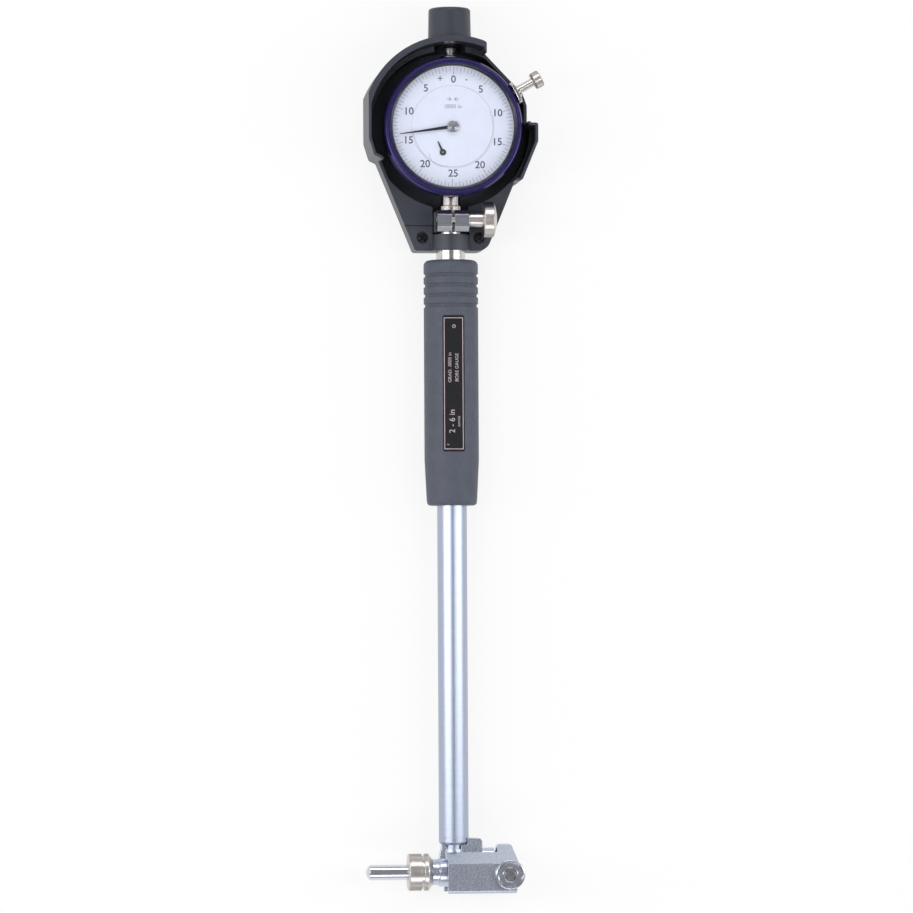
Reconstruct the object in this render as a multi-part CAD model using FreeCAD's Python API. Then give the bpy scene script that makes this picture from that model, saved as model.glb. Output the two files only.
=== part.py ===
import FreeCAD, Part
import math
import os

# Dial bore gauge for bores of 50 to 150 mm, lying on its back.
# It is built in the gauge's own directions and set on the table at the end:
#   X  the measuring axis (fixed anvil at -X, moving contact at +X)
#   Y  the stem axis, from the measuring axis up towards the dial
#   Z  towards the reader of the dial
# All sizes are in millimetres.

V = FreeCAD.Vector

# ---------------------------------------------------------------- driving sizes
# fits
RUN = 0.05                 # radial clearance of everything that turns or slides
SEAT = 0.02                # clearance of pieces that are screwed or cemented in

# overall
MEASURING_DEPTH = 150.2    # measuring axis to the lower end of the grip
GRIP_LENGTH = 100.8
COLLAR_SHOWN = 4.0         # bright collar between grip and cover
BEZEL_R = 28.5
REST_PLANE = -13.0         # cover back and rear roller, both on the table

# heights that follow from them, from the grip up to the dial
GRIP_TOP = MEASURING_DEPTH + GRIP_LENGTH
COVER_BOTTOM = GRIP_TOP + COLLAR_SHOWN
COLLAR_TOP = COVER_BOTTOM + 6.6
SLEEVE_TOP = COLLAR_TOP + 11.8
DIAL_HEIGHT = SLEEVE_TOP + BEZEL_R + 3.1    # measuring axis to the centre of the dial

# stem tube and its ferrule
TUBE_R = 6.1
TUBE_BORE_R = 4.6
TUBE_BOTTOM = 14.0
FERRULE_NECK_R = 3.8
FERRULE_LOW = 11.3          # underside of the wide part of the ferrule
SOCKET_FLOOR = 7.6         # the neck of the ferrule stands on this in the head
SOCKET_R = 4.4
PUSH_ROD_R = 1.5

# grip
GRIP_R = 11.2
GRIP_END_R = 10.4
GRIP_TAPER_START = MEASURING_DEPTH + 18.8
GROOVE_PITCH = 4.15
GROOVE_COUNT = 4
GROOVE_FIRST = GRIP_TOP - 6.3
GROOVE_WIDTH = 1.3
GROOVE_DEPTH = 0.55
LABEL_LENGTH = 55.6
LABEL_WIDTH = 8.6
LABEL_THICK = 0.3
LABEL_CENTRE = GRIP_TOP - 51.0
LABEL_FACE = 10.2

# holder at the top of the tube
COLLAR_R = 6.0
SLEEVE_R = 5.0
HOLDER_LENGTH = 25.6       # of the wide part, from the tube to the top of the collar
HOLDER_PLUG = 6.0          # depth of the plug in the tube
INDICATOR_STEM_R = 4.0
STEM_BOTTOM = COVER_BOTTOM + 2.0

# clamp ring round the sleeve
CLAMP_R = 7.4
CLAMP_LOW = COLLAR_TOP + 0.6
CLAMP_HIGH = SLEEVE_TOP - 2.4
LUG_REACH = 6.5
LUG_FRONT = 13.2
LUG_CHAMFER = 1.9
CLAMP_SLIT = 1.2
THUMB_Y = (CLAMP_LOW + CLAMP_HIGH) / 2 + 0.6
THUMB_Z = 9.4
THUMB_SHANK_R = 1.45
THUMB_HEAD_R = 7.2
THUMB_HEAD_THICK = 4.4
THUMB_CROWN = 1.3

# moulded cover
COVER_ARC_R = BEZEL_R + 8.9
COVER_HALF_WIDTH = COVER_ARC_R - 2.6
COVER_RIGHT_HALF = COVER_ARC_R - 5.7
COVER_BOTTOM_HALF = 14.8
LEFT_STEP = DIAL_HEIGHT - 13.2       # lower end of the left guard
RIGHT_STEP = DIAL_HEIGHT - 21.7      # lower end of the right guard
RIGHT_GUARD_TOP = DIAL_HEIGHT + 1.6
FUNNEL_SLOPE = (COVER_HALF_WIDTH - 4.9 - COVER_BOTTOM_HALF) / (LEFT_STEP - COVER_BOTTOM)
COVER_WALL = 1.3
GUARD_WALL = 1.1
COVER_BACK = 1.7
SKIN_FRONT = 1.5
SKIN_THICK = 1.8
GUARD_FRONT = 16.0
GUARD_RIGHT_END = 13.8
COVER_WELL_R = COVER_ARC_R - 4.7
GUARD_WELL_R = COVER_ARC_R - 2.5
WINDOW_HALF = 7.5
PLATE_TOP = COVER_BOTTOM + 10.2
PLATE_GAP = 0.2            # open joint between the front plate and the skin
PLATE_ARCH_R = 8.1
COVER_SCREW_X = 11.7
COVER_SCREW_Y = COVER_BOTTOM + 5.4
COVER_SCREW_HEAD_R = 1.95
COVER_SCREW_SEAT_R = 2.5
SCREW_THREAD_R = 0.95
SCREW_SINK = 1.1           # depth of the seats of the cover screws
CAP_R = 9.0
CAP_TOP_R = 8.6
CAP_TOP = DIAL_HEIGHT + COVER_ARC_R + 12.6

# dial indicator
CASE_R = BEZEL_R - 2.0
CASE_BACK = -8.5
CASE_SHOULDER = 7.6
CASE_NECK_R = BEZEL_R - 2.5
CASE_NECK_FRONT = 11.2
CASE_WALL = 1.9
CASE_FLOOR_BACK = 7.0
CASE_FLOOR_FRONT = 8.2
BACK_COVER_THICK = 1.4
BEZEL_BACK = 7.8
BEZEL_FRONT = 17.0
BEZEL_SEAT_R = BEZEL_R - 2.7
BEZEL_SIGHT_R = BEZEL_R - 3.6
DIAL_BACK = 12.0
DIAL_THICK = 0.6
DIAL_SPLIT_R = BEZEL_SIGHT_R - 7.9
CRYSTAL_BACK = 14.2
CRYSTAL_THICK = 1.0
SPINDLE_R = 2.0
SPINDLE_TIP = STEM_BOTTOM - 4.95
TRAVEL = 1.6               # travel of the contact, and so of the spindle

# gear train: one turn of the main hand is 1.27 mm of spindle travel
TRAVEL_PER_TURN = 1.27
WHEEL_TEETH = 100
CENTRE_TEETH = 10
RACK_PINION_TEETH = 16
SMALL_HAND_X = -0.1474 * BEZEL_R
SMALL_HAND_Y = -0.3684 * BEZEL_R    # both from the centre of the dial
MAIN_HAND_ANGLE = 188.0
MAIN_HAND_LENGTH = BEZEL_SIGHT_R - 2.7
SMALL_HAND_ANGLE = 115.0
SMALL_HAND_LENGTH = 4.9

# bezel clamp, radial to the dial
BEZEL_CLAMP_ANGLE = 28.5
BEZEL_CLAMP_Z = 12.0
BEZEL_CLAMP_HEAD = BEZEL_R + 9.6    # radius from the dial centre to the head
BEZEL_CLAMP_HEAD_R = 3.5
BEZEL_CLAMP_SHANK_R = 1.75

# measuring head
HEAD_HALF = 8.4            # half the width of the block, across Z
HEAD_LEFT = -2.2
HEAD_RIGHT = 14.5
HEAD_LOW = -8.3
HEAD_TOP = 8.0
RIDGE_R = 3.2              # rounded ridge on the right of the head
RIDGE_TOP = 9.8
RIDGE_END = 16.4
CHAMBER_RIGHT = 7.0        # right wall of the crank chamber
BUSH_R = 3.8
GUIDE_HALF = 9.6
GUIDE_LEFT = -3.2
GUIDE_RIGHT = 25.0
GUIDE_LOW = -8.5
GUIDE_SHOULDER = 3.7       # where the 45 degree facet starts
GUIDE_TOP = 8.2
GUIDE_SLOT_HALF = 4.6      # half the slot in its top that clears the stem
GUIDE_TRAVEL = 2.8
BRIDGE_LEFT = 17.5
BRIDGE_TOP = 11.3
STOP_RIGHT = 11.4          # right side of the stop block beside the stem
ROLLER_X = 22.0
ROLLER_Y = -0.8
ROLLER_R = 6.05
ROLLER_INNER = 10.0
ROLLER_OUTER = 13.0
ROLLER_BORE_R = 1.55
CONTACT_R = 2.4
CONTACT_TIP = 27.5
CRANK_ARM = 4.5
CRANK_BALL_R = 1.0
CRANK_HALF = 1.2
CRANK_PIN_R = 0.8
ANVIL_R = 3.15
ANVIL_TIP = -36.2
ANVIL_TIP_R = 3.6
NUT_R = 7.55
NUT_LEFT = -19.0
NUT_RIGHT = -9.1
SPIGOT_R = 4.6
SPIGOT_END = -16.0
NECK_R = 5.35
FLANGE_R = 6.0
GUIDE_ROD_R = 1.2


# ---------------------------------------------------------------- shape helpers
def rounded_wire(corners, arc_through=None):
    """Closed wire in XY through (x, y) or (x, y, radius) corners.

    With arc_through, the last corner joins the first by an arc through that point.
    """
    points = [V(c[0], c[1], 0) for c in corners]
    radii = [c[2] if len(c) > 2 else 0.0 for c in corners]
    count = len(points)
    starts, ends, arcs = [], [], []
    for i in range(count):
        here = points[i]
        to_last = (points[i - 1] - here).normalize()
        to_next = (points[(i + 1) % count] - here).normalize()
        if radii[i] == 0:
            starts.append(here)
            ends.append(here)
            arcs.append(None)
            continue
        half = to_last.getAngle(to_next) / 2
        cut = radii[i] / math.tan(half)
        middle_dir = (to_last + to_next).normalize()
        centre = here + middle_dir * (radii[i] / math.sin(half))
        first, last = here + to_last * cut, here + to_next * cut
        starts.append(first)
        ends.append(last)
        arcs.append(Part.Arc(first, centre - middle_dir * radii[i], last).toShape())
    edges = []
    for i in range(count):
        if arcs[i]:
            edges.append(arcs[i])
        following = starts[(i + 1) % count]
        if arc_through and i == count - 1:
            edges.append(Part.Arc(ends[i], V(arc_through[0], arc_through[1], 0),
                                  following).toShape())
        elif ends[i].distanceToPoint(following) > 1e-6:
            edges.append(Part.makeLine(ends[i], following))
    return Part.Wire(edges)


def solid_of(shape):
    """The shape with its material inside, whichever way it was swept."""
    return shape if shape.Volume > 0 else shape.reversed()


def prism_z(corners, low, high):
    """Outline in XY, extruded along Z."""
    face = Part.Face(rounded_wire(corners))
    face.translate(V(0, 0, low))
    return solid_of(face.extrude(V(0, 0, high - low)))


def prism_x(corners, low, high):
    """Outline in (Y, Z), extruded along X."""
    shape = prism_z(corners, low, high)
    shape.rotate(V(0, 0, 0), V(1, 1, 1), 120)
    return shape


def prism_y(corners, low, high):
    """Outline in (Z, X), extruded along Y."""
    shape = prism_z(corners, low, high)
    shape.rotate(V(0, 0, 0), V(1, 1, 1), 240)
    return shape


def block(x0, x1, y0, y1, z0, z1):
    return Part.makeBox(x1 - x0, y1 - y0, z1 - z0, V(x0, y0, z0))


def rod_x(radius, x0, x1, y=0.0, z=0.0):
    return Part.makeCylinder(radius, x1 - x0, V(x0, y, z), V(1, 0, 0))


def rod_y(radius, y0, y1, x=0.0, z=0.0):
    return Part.makeCylinder(radius, y1 - y0, V(x, y0, z), V(0, 1, 0))


def rod_z(radius, z0, z1, x=0.0, y=0.0):
    return Part.makeCylinder(radius, z1 - z0, V(x, y, z0), V(0, 0, 1))


def turned_y(profile):
    """(radius, y) or (radius, y, rounding) corners, turned about the stem axis."""
    return solid_of(Part.Face(rounded_wire(profile)).revolve(V(0, 0, 0), V(0, 1, 0), 360))


def turned_x(profile):
    """(radius, x) or (radius, x, rounding) corners, turned about the measuring axis."""
    shape = turned_y([(c[0], -c[1]) + tuple(c[2:]) for c in profile])
    shape.rotate(V(0, 0, 0), V(0, 0, 1), 90)
    return shape


def turned_z(profile, x=0.0, y=0.0):
    """(radius, z) or (radius, z, rounding) corners, turned about an axis along Z."""
    shape = turned_y(profile)
    shape.rotate(V(0, 0, 0), V(1, 0, 0), 90)
    shape.translate(V(x, y, 0))
    return shape


def polar(radius, degrees):
    return radius * math.cos(math.radians(degrees)), radius * math.sin(math.radians(degrees))


def gear(teeth, module, low, high, x, y, tooth_at):
    """Thin straight-flanked gear with a tooth pointing in direction tooth_at."""
    root = module * teeth / 2 - module
    tip = module * teeth / 2 + 0.7 * module
    pitch = 360.0 / teeth
    corners = []
    for i in range(teeth):
        middle = tooth_at + i * pitch
        for radius, share in ((root, -0.27), (tip, -0.12), (tip, 0.12), (root, 0.27)):
            px, py = polar(radius, middle + share * pitch)
            corners.append((x + px, y + py))
    return prism_z(corners, low, high)


def fused(first, *others):
    return first.fuse(list(others)).removeSplitter()


# ---------------------------------------------------------------- stem and grip
def stem_tube():
    top = COLLAR_TOP - HOLDER_LENGTH
    return rod_y(TUBE_R, TUBE_BOTTOM, top).cut(rod_y(TUBE_BORE_R, TUBE_BOTTOM, top))


def tube_ferrule():
    """Plug in the lower end of the tube, necked down to enter the head."""
    body = turned_y([
        (0, SOCKET_FLOOR), (FERRULE_NECK_R, SOCKET_FLOOR), (FERRULE_NECK_R, FERRULE_LOW),
        (TUBE_R - 0.7, FERRULE_LOW), (TUBE_R, FERRULE_LOW + 0.9), (TUBE_R, TUBE_BOTTOM),
        (TUBE_BORE_R, TUBE_BOTTOM),
        (TUBE_BORE_R, TUBE_BOTTOM + 6), (0, TUBE_BOTTOM + 6)])
    return body.cut(rod_y(PUSH_ROD_R + RUN, 6, TUBE_BOTTOM + 7))


def grip():
    taper_end = MEASURING_DEPTH + 2.5
    body = turned_y([
        (TUBE_R, MEASURING_DEPTH), (GRIP_END_R - 0.3, MEASURING_DEPTH, 1.4),
        (GRIP_END_R, taper_end), (GRIP_R, GRIP_TAPER_START), (GRIP_R, GRIP_TOP, 2.2),
        (TUBE_R, GRIP_TOP)])
    for i in range(GROOVE_COUNT):
        y = GROOVE_FIRST - i * GROOVE_PITCH
        ring = turned_y([
            (GRIP_R + 1, y - GROOVE_WIDTH / 2 - 0.35), (GRIP_R + 1, y + GROOVE_WIDTH / 2 + 0.35),
            (GRIP_R - GROOVE_DEPTH, y + GROOVE_WIDTH / 2, 0.5),
            (GRIP_R - GROOVE_DEPTH, y - GROOVE_WIDTH / 2, 0.5)])
        body = body.cut(ring)
    return body.cut(label_recess(0.2, LABEL_FACE - LABEL_THICK, GRIP_R + 1))


def label_recess(margin, low, high):
    half_x, half_y = LABEL_WIDTH / 2 + margin, LABEL_LENGTH / 2 + margin
    y0, y1 = LABEL_CENTRE - half_y, LABEL_CENTRE + half_y
    return prism_z([(-half_x, y0, 0.8), (half_x, y0, 0.8), (half_x, y1, 0.8),
                    (-half_x, y1, 0.8)], low, high)


def stem_holder():
    """Collar above the grip with the slotted sleeve that closes on the indicator stem."""
    bottom = COLLAR_TOP - HOLDER_LENGTH
    body = turned_y([
        (0, bottom - HOLDER_PLUG), (TUBE_BORE_R, bottom - HOLDER_PLUG), (TUBE_BORE_R, bottom),
        (COLLAR_R, bottom),
        (COLLAR_R, COLLAR_TOP, 0.3), (SLEEVE_R, COLLAR_TOP), (SLEEVE_R, SLEEVE_TOP, 0.3),
        (0, SLEEVE_TOP)])
    body = body.cut(rod_y(INDICATOR_STEM_R + SEAT, STEM_BOTTOM - 0.1, SLEEVE_TOP + 1))
    body = body.cut(rod_y(SPINDLE_R + 0.6, bottom - HOLDER_PLUG - 1, STEM_BOTTOM))
    return body.cut(block(-CLAMP_SLIT / 2, CLAMP_SLIT / 2, COLLAR_TOP + 1, SLEEVE_TOP + 1,
                          0, SLEEVE_R + 1))


def push_rod():
    top = SPINDLE_TIP - RUN
    bottom = CRANK_ARM + CRANK_BALL_R + RUN
    return turned_y([(0, bottom), (PUSH_ROD_R, bottom, 0.3), (PUSH_ROD_R, top, 0.3), (0, top)])


# ---------------------------------------------------------------- clamp and thumb screw
def clamp_ring():
    middle = (CLAMP_LOW + CLAMP_HIGH) / 2
    half = (CLAMP_HIGH - CLAMP_LOW) / 2
    ring = turned_y([(0, CLAMP_LOW), (CLAMP_R, CLAMP_LOW, 0.5), (CLAMP_R, CLAMP_HIGH, 0.5),
                     (0, CLAMP_HIGH)])
    front = LUG_FRONT - LUG_CHAMFER
    lugs = prism_x([
        (middle - half, 0), (middle + half, 0), (middle + half, front),
        (middle + half - LUG_CHAMFER, LUG_FRONT, 0.4),
        (middle - half + LUG_CHAMFER, LUG_FRONT, 0.4), (middle - half, front)],
        -LUG_REACH, LUG_REACH)
    body = fused(ring, lugs)
    body = body.cut(rod_y(SLEEVE_R + SEAT, CLAMP_LOW - 1, CLAMP_HIGH + 1))
    body = body.cut(block(-CLAMP_SLIT / 2, CLAMP_SLIT / 2, CLAMP_LOW - 1, CLAMP_HIGH + 1,
                          0, LUG_FRONT + 1))
    return body.cut(rod_x(THUMB_SHANK_R + RUN, -LUG_REACH - 1, LUG_REACH + 1,
                          THUMB_Y, THUMB_Z))


def thumb_screw():
    """Knurled clamping screw with a crowned head, standing off the right lug."""
    head_left = LUG_REACH + 6.0
    head_right = head_left + THUMB_HEAD_THICK
    neck_r = 3.2
    crown = [(THUMB_HEAD_R, head_right)]
    for share in (0.8, 0.55, 0.3):
        crown.append((THUMB_HEAD_R * share, head_right + THUMB_CROWN * (1 - share ** 2)))
    screw = turned_x(
        [(0, -LUG_REACH + 0.4), (THUMB_SHANK_R, -LUG_REACH + 0.4), (THUMB_SHANK_R, LUG_REACH + RUN),
         (neck_r - 0.4, LUG_REACH + RUN), (neck_r - 0.4, LUG_REACH + 0.5),
         (neck_r, LUG_REACH + 0.6), (neck_r, head_left), (THUMB_HEAD_R, head_left, 0.25)]
        + crown + [(0, head_right + THUMB_CROWN)])
    screw.translate(V(0, THUMB_Y, THUMB_Z))
    return screw


# ---------------------------------------------------------------- moulded cover
def funnel_half(y):
    """Half width of the funnel below the dial at height y."""
    return COVER_BOTTOM_HALF + FUNNEL_SLOPE * (y - COVER_BOTTOM)


def on_arc(x):
    return DIAL_HEIGHT + math.sqrt(COVER_ARC_R ** 2 - x ** 2)


def cover_face():
    """Outline of the cover: lowered right shoulder, flat sides, funnel, and round top."""
    return Part.Face(rounded_wire([
        (GUARD_RIGHT_END - 2.0, on_arc(GUARD_RIGHT_END - 2.0)),
        (GUARD_RIGHT_END, on_arc(GUARD_RIGHT_END) - 0.1, 1.6),
        (GUARD_RIGHT_END + 0.3, DIAL_HEIGHT + COVER_ARC_R - 5.8, 0.2),
        (COVER_RIGHT_HALF - 1.7, DIAL_HEIGHT + 14.8, 2.5),
        (COVER_RIGHT_HALF, DIAL_HEIGHT + 10.0, 2.0),
        (COVER_RIGHT_HALF, RIGHT_GUARD_TOP, 0.4),
        (COVER_HALF_WIDTH, RIGHT_GUARD_TOP, 1.0),
        (COVER_HALF_WIDTH, DIAL_HEIGHT - 6, 3.0),
        (funnel_half(RIGHT_STEP) + 1.9, RIGHT_STEP, 1.0),
        (funnel_half(RIGHT_STEP - 0.8), RIGHT_STEP - 0.8, 0.4),
        (COVER_BOTTOM_HALF, COVER_BOTTOM, 5.5),
        (-COVER_BOTTOM_HALF, COVER_BOTTOM, 1.5),
        (-funnel_half(LEFT_STEP), LEFT_STEP, 0.8),
        (-COVER_HALF_WIDTH + 2.1, LEFT_STEP + 1.4, 1.5),
        (-COVER_HALF_WIDTH, DIAL_HEIGHT - 5, 3.0),
        (-COVER_HALF_WIDTH, on_arc(COVER_HALF_WIDTH))], (0, on_arc(0))))


def cover_prism(low, high, inset=0.0):
    """The cover's outline between two heights, drawn in by inset."""
    face = cover_face()
    if inset:
        face = face.makeOffset2D(-inset, 0, False, False, False)
    face.translate(V(0, 0, low))
    return solid_of(face.extrude(V(0, 0, high - low)))


def guard_zone(low, high):
    """The stretches of wall that rise beside the bezel: left and top, and right."""
    left = block(-60, GUARD_RIGHT_END, LEFT_STEP - 0.2, 400, low, high)
    right = block(GUARD_RIGHT_END, 60, RIGHT_STEP - 0.5, RIGHT_GUARD_TOP + 0.5, low, high)
    return left.fuse(right)


def cover_shell():
    """Moulded tray round the indicator: back, side walls, skin over the funnel, and cap."""
    skin_back = SKIN_FRONT - SKIN_THICK
    floor = REST_PLANE + COVER_BACK
    above = GUARD_FRONT + 1
    body = cover_prism(REST_PLANE, SKIN_FRONT)
    body = body.fuse(cover_prism(SKIN_FRONT - 1, GUARD_FRONT).common(
        guard_zone(SKIN_FRONT - 1, GUARD_FRONT)))
    cap_low = DIAL_HEIGHT + COVER_ARC_R - 7.4
    cap = turned_y([(0, cap_low), (CAP_R, cap_low), (CAP_TOP_R, CAP_TOP, 1.2),
                    (0, CAP_TOP)])
    body = body.fuse(cap)
    # the well for the indicator, wider between the guards than under them
    well = cover_prism(floor, above, COVER_WALL).common(
        rod_z(COVER_WELL_R, floor, above, 0, DIAL_HEIGHT))
    guard_well = cover_prism(SKIN_FRONT, above, GUARD_WALL).common(
        rod_z(GUARD_WELL_R, SKIN_FRONT, above, 0, DIAL_HEIGHT))
    # the hollow under the skin of the funnel, and the window for the clamp
    hollow = cover_prism(floor, skin_back, 2.0).common(
        block(-60, 60, PLATE_TOP, DIAL_HEIGHT, floor, skin_back))
    window = block(-WINDOW_HALF, WINDOW_HALF, COLLAR_TOP, DIAL_HEIGHT - CASE_R + 1.5,
                   floor, above)
    body = body.cut([well, guard_well, hollow, window])
    # room for the upper end of the spindle inside the cap
    body = body.cut(rod_y(CAP_TOP_R - 2.0, DIAL_HEIGHT + CASE_R + 1.5, CAP_TOP - 2.0))
    # seat of the front plate, saddle of the collar and the screw holes
    body = body.cut(block(-60, 60, COVER_BOTTOM - 1, PLATE_TOP + PLATE_GAP, skin_back, above))
    body = body.cut(rod_y(COLLAR_R + SEAT, COVER_BOTTOM - 1, COLLAR_TOP + 1))
    for side in (-1, 1):
        body = body.cut(rod_z(SCREW_THREAD_R, SKIN_FRONT - 9, SKIN_FRONT, side * COVER_SCREW_X,
                              COVER_SCREW_Y))
    return body.removeSplitter()


def cover_front_plate():
    """Plate screwed over the collar: flat at both sides, arched over the stem."""
    skin_back = SKIN_FRONT - SKIN_THICK
    flat = cover_prism(skin_back, SKIN_FRONT).common(
        block(-60, 60, COVER_BOTTOM - 1, PLATE_TOP, skin_back, SKIN_FRONT))
    flat = flat.cut(block(-WINDOW_HALF, WINDOW_HALF, COLLAR_TOP, PLATE_TOP + 1,
                          skin_back - 1, SKIN_FRONT + 1))
    arch = rod_y(PLATE_ARCH_R, COVER_BOTTOM, COLLAR_TOP).common(
        block(-20, 20, COVER_BOTTOM, COLLAR_TOP, skin_back, 20))
    body = fused(flat, arch).cut(rod_y(COLLAR_R + SEAT, COVER_BOTTOM - 1, COLLAR_TOP + 1))
    for side in (-1, 1):
        x = side * COVER_SCREW_X
        body = body.cut(rod_z(COVER_SCREW_SEAT_R, SKIN_FRONT - SCREW_SINK, SKIN_FRONT + 1,
                              x, COVER_SCREW_Y))
        body = body.cut(rod_z(SCREW_THREAD_R + 0.3, SKIN_FRONT - 4, SKIN_FRONT,
                              x, COVER_SCREW_Y))
    return body


def cross_recess(x, y, top, reach, depth):
    """Cutter for a cross recess in a screw head that faces +Z."""
    wide = block(x - reach, x + reach, y - 0.3, y + 0.3, top - depth, top + 1)
    return wide.fuse(block(x - 0.3, x + 0.3, y - reach, y + reach, top - depth, top + 1))


def cover_screws():
    """Two cross-recessed screws, sunk in the front plate."""
    screws = []
    seat, top = SKIN_FRONT - SCREW_SINK, SKIN_FRONT - 0.15
    for side in (-1, 1):
        x = side * COVER_SCREW_X
        screw = turned_z([
            (0, SKIN_FRONT - 8), (SCREW_THREAD_R, SKIN_FRONT - 8), (SCREW_THREAD_R, seat),
            (COVER_SCREW_HEAD_R, seat), (COVER_SCREW_HEAD_R, seat + 0.6, 0.3), (1.3, top),
            (0, top)], x, COVER_SCREW_Y)
        screws.append(screw.cut(cross_recess(x, COVER_SCREW_Y, top, 1.1, 0.7)))
    return Part.makeCompound(screws)


# ---------------------------------------------------------------- dial indicator
def indicator_case():
    body = turned_z([
        (CASE_R - CASE_WALL, CASE_BACK), (CASE_R, CASE_BACK, 0.5), (CASE_R, CASE_SHOULDER),
        (CASE_NECK_R, CASE_SHOULDER), (CASE_NECK_R, CASE_NECK_FRONT),
        (CASE_R - CASE_WALL, CASE_NECK_FRONT), (CASE_R - CASE_WALL, CASE_FLOOR_FRONT),
        (0, CASE_FLOOR_FRONT), (0, CASE_FLOOR_BACK), (CASE_R - CASE_WALL, CASE_FLOOR_BACK)],
        0, DIAL_HEIGHT)
    body = body.cut(rod_y(INDICATOR_STEM_R, DIAL_HEIGHT - CASE_R - 1, DIAL_HEIGHT - CASE_R + 6))
    body = body.cut(rod_y(3.0, DIAL_HEIGHT + CASE_R - 6, DIAL_HEIGHT + CASE_R + 1))
    body = body.cut(rod_z(1.3, CASE_FLOOR_BACK - 1, CASE_FLOOR_FRONT + 1, 0, DIAL_HEIGHT))
    return body.cut(rod_z(1.3, CASE_FLOOR_BACK - 1, CASE_FLOOR_FRONT + 1, SMALL_HAND_X,
                          DIAL_HEIGHT + SMALL_HAND_Y))


BACK_SCREW_R = CASE_R - 3.3
BACK_SCREW_LENGTH = 3.6


def indicator_back():
    """Back cover of the case, with a register that enters the bore of the case."""
    body = turned_z([
        (0, CASE_BACK - BACK_COVER_THICK), (CASE_R - 0.6, CASE_BACK - BACK_COVER_THICK, 0.6),
        (CASE_R - 0.6, CASE_BACK), (CASE_R - CASE_WALL - SEAT, CASE_BACK),
        (CASE_R - CASE_WALL - SEAT, CASE_BACK + 1.0), (0, CASE_BACK + 1.0)], 0, DIAL_HEIGHT)
    for i in range(4):
        x, y = polar(BACK_SCREW_R, 45 + 90 * i)
        body = body.cut(rod_z(1.5, CASE_BACK - 3, CASE_BACK - BACK_COVER_THICK + 0.7,
                              x, DIAL_HEIGHT + y))
        body = body.cut(rod_z(0.8, CASE_BACK - 3, CASE_BACK + 2, x, DIAL_HEIGHT + y))
    return body


def indicator_lug_posts():
    """Threaded posts inside the case that take the back cover screws."""
    posts = []
    for i in range(4):
        x, y = polar(BACK_SCREW_R, 45 + 90 * i)
        post = rod_z(1.35, CASE_BACK + 1.0, CASE_FLOOR_BACK, x, DIAL_HEIGHT + y)
        posts.append(post.cut(rod_z(0.8, CASE_BACK, CASE_BACK + BACK_SCREW_LENGTH,
                                   x, DIAL_HEIGHT + y)))
    return Part.makeCompound(posts)


def indicator_back_screws():
    screws = []
    top = CASE_BACK - BACK_COVER_THICK + 0.7
    for i in range(4):
        x, y = polar(BACK_SCREW_R, 45 + 90 * i)
        screw = turned_z([(0, top - 0.6), (1.4, top - 0.6), (1.4, top), (0.78, top),
                          (0.78, top + BACK_SCREW_LENGTH), (0, top + BACK_SCREW_LENGTH)],
                         x, DIAL_HEIGHT + y)
        slot = block(x - 2, x + 2, DIAL_HEIGHT + y - 0.2, DIAL_HEIGHT + y + 0.2,
                     top - 0.7, top - 0.3)
        screws.append(screw.cut(slot))
    return Part.makeCompound(screws)


def indicator_stem():
    top = DIAL_HEIGHT - CASE_R + 3.0
    body = turned_y([(0, STEM_BOTTOM), (INDICATOR_STEM_R, STEM_BOTTOM, 0.4),
                     (INDICATOR_STEM_R, top), (0, top)])
    return body.cut(rod_y(SPINDLE_R + RUN, STEM_BOTTOM - 1, top + 1))


def spindle_top_bush():
    """Upper guide of the spindle, in the top of the case."""
    low = DIAL_HEIGHT + CASE_R - 3.0
    shoulder = DIAL_HEIGHT + CASE_R
    body = turned_y([(0, low), (3.0, low), (3.0, shoulder + 0.05), (3.9, shoulder + 0.05),
                     (3.9, shoulder + 4.0, 0.4), (0, shoulder + 4.0)])
    return body.cut(rod_y(SPINDLE_R + RUN, low - 1, shoulder + 5))


RACK_PITCH_R = TRAVEL_PER_TURN * WHEEL_TEETH / CENTRE_TEETH / (2 * math.pi)
RACK_MODULE = 2 * RACK_PITCH_R / RACK_PINION_TEETH
WHEEL_DISTANCE = math.hypot(SMALL_HAND_X, SMALL_HAND_Y)
WHEEL_MODULE = 2 * WHEEL_DISTANCE / (WHEEL_TEETH + CENTRE_TEETH)
WHEEL_DIRECTION = math.degrees(math.atan2(SMALL_HAND_Y, SMALL_HAND_X))
# seven teeth of the centre pinion lie between its two wheels
TAKE_UP_ANGLE = WHEEL_DIRECTION + 7 * 360.0 / CENTRE_TEETH


def spindle():
    """Round spindle with a toothed flat bar in its middle, cut to mesh with the pinion."""
    top = DIAL_HEIGHT + CASE_R + 5.5
    rack_low, rack_high = DIAL_HEIGHT - 22, DIAL_HEIGHT + 12
    body = turned_y([(0, SPINDLE_TIP), (SPINDLE_R, SPINDLE_TIP, 1.5), (SPINDLE_R, top), (0, top)])
    pitch_line = SMALL_HAND_X + RACK_PITCH_R
    bar_left = pitch_line + RACK_MODULE
    body = body.cut(block(-SPINDLE_R - 1, bar_left, rack_low, rack_high, -3, 3))
    pitch = math.pi * RACK_MODULE
    mesh = DIAL_HEIGHT + SMALL_HAND_Y
    first = -math.floor((mesh - rack_low) / pitch) + 1
    last = math.floor((rack_high - mesh) / pitch) - 1
    teeth = [(bar_left + 0.4, mesh + (last + 1) * pitch)]
    teeth.insert(0, (bar_left + 0.4, mesh + (first - 1) * pitch))
    outline = []
    for i in range(first, last + 1):
        middle = mesh + (i + 0.5) * pitch
        outline += [(bar_left, middle - 0.27 * pitch), (pitch_line - 0.7 * RACK_MODULE,
                    middle - 0.12 * pitch), (pitch_line - 0.7 * RACK_MODULE,
                    middle + 0.12 * pitch), (bar_left, middle + 0.27 * pitch)]
    rack = prism_z([teeth[0]] + outline + [teeth[1]], -1.3, 1.3)
    return fused(body, rack)


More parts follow.
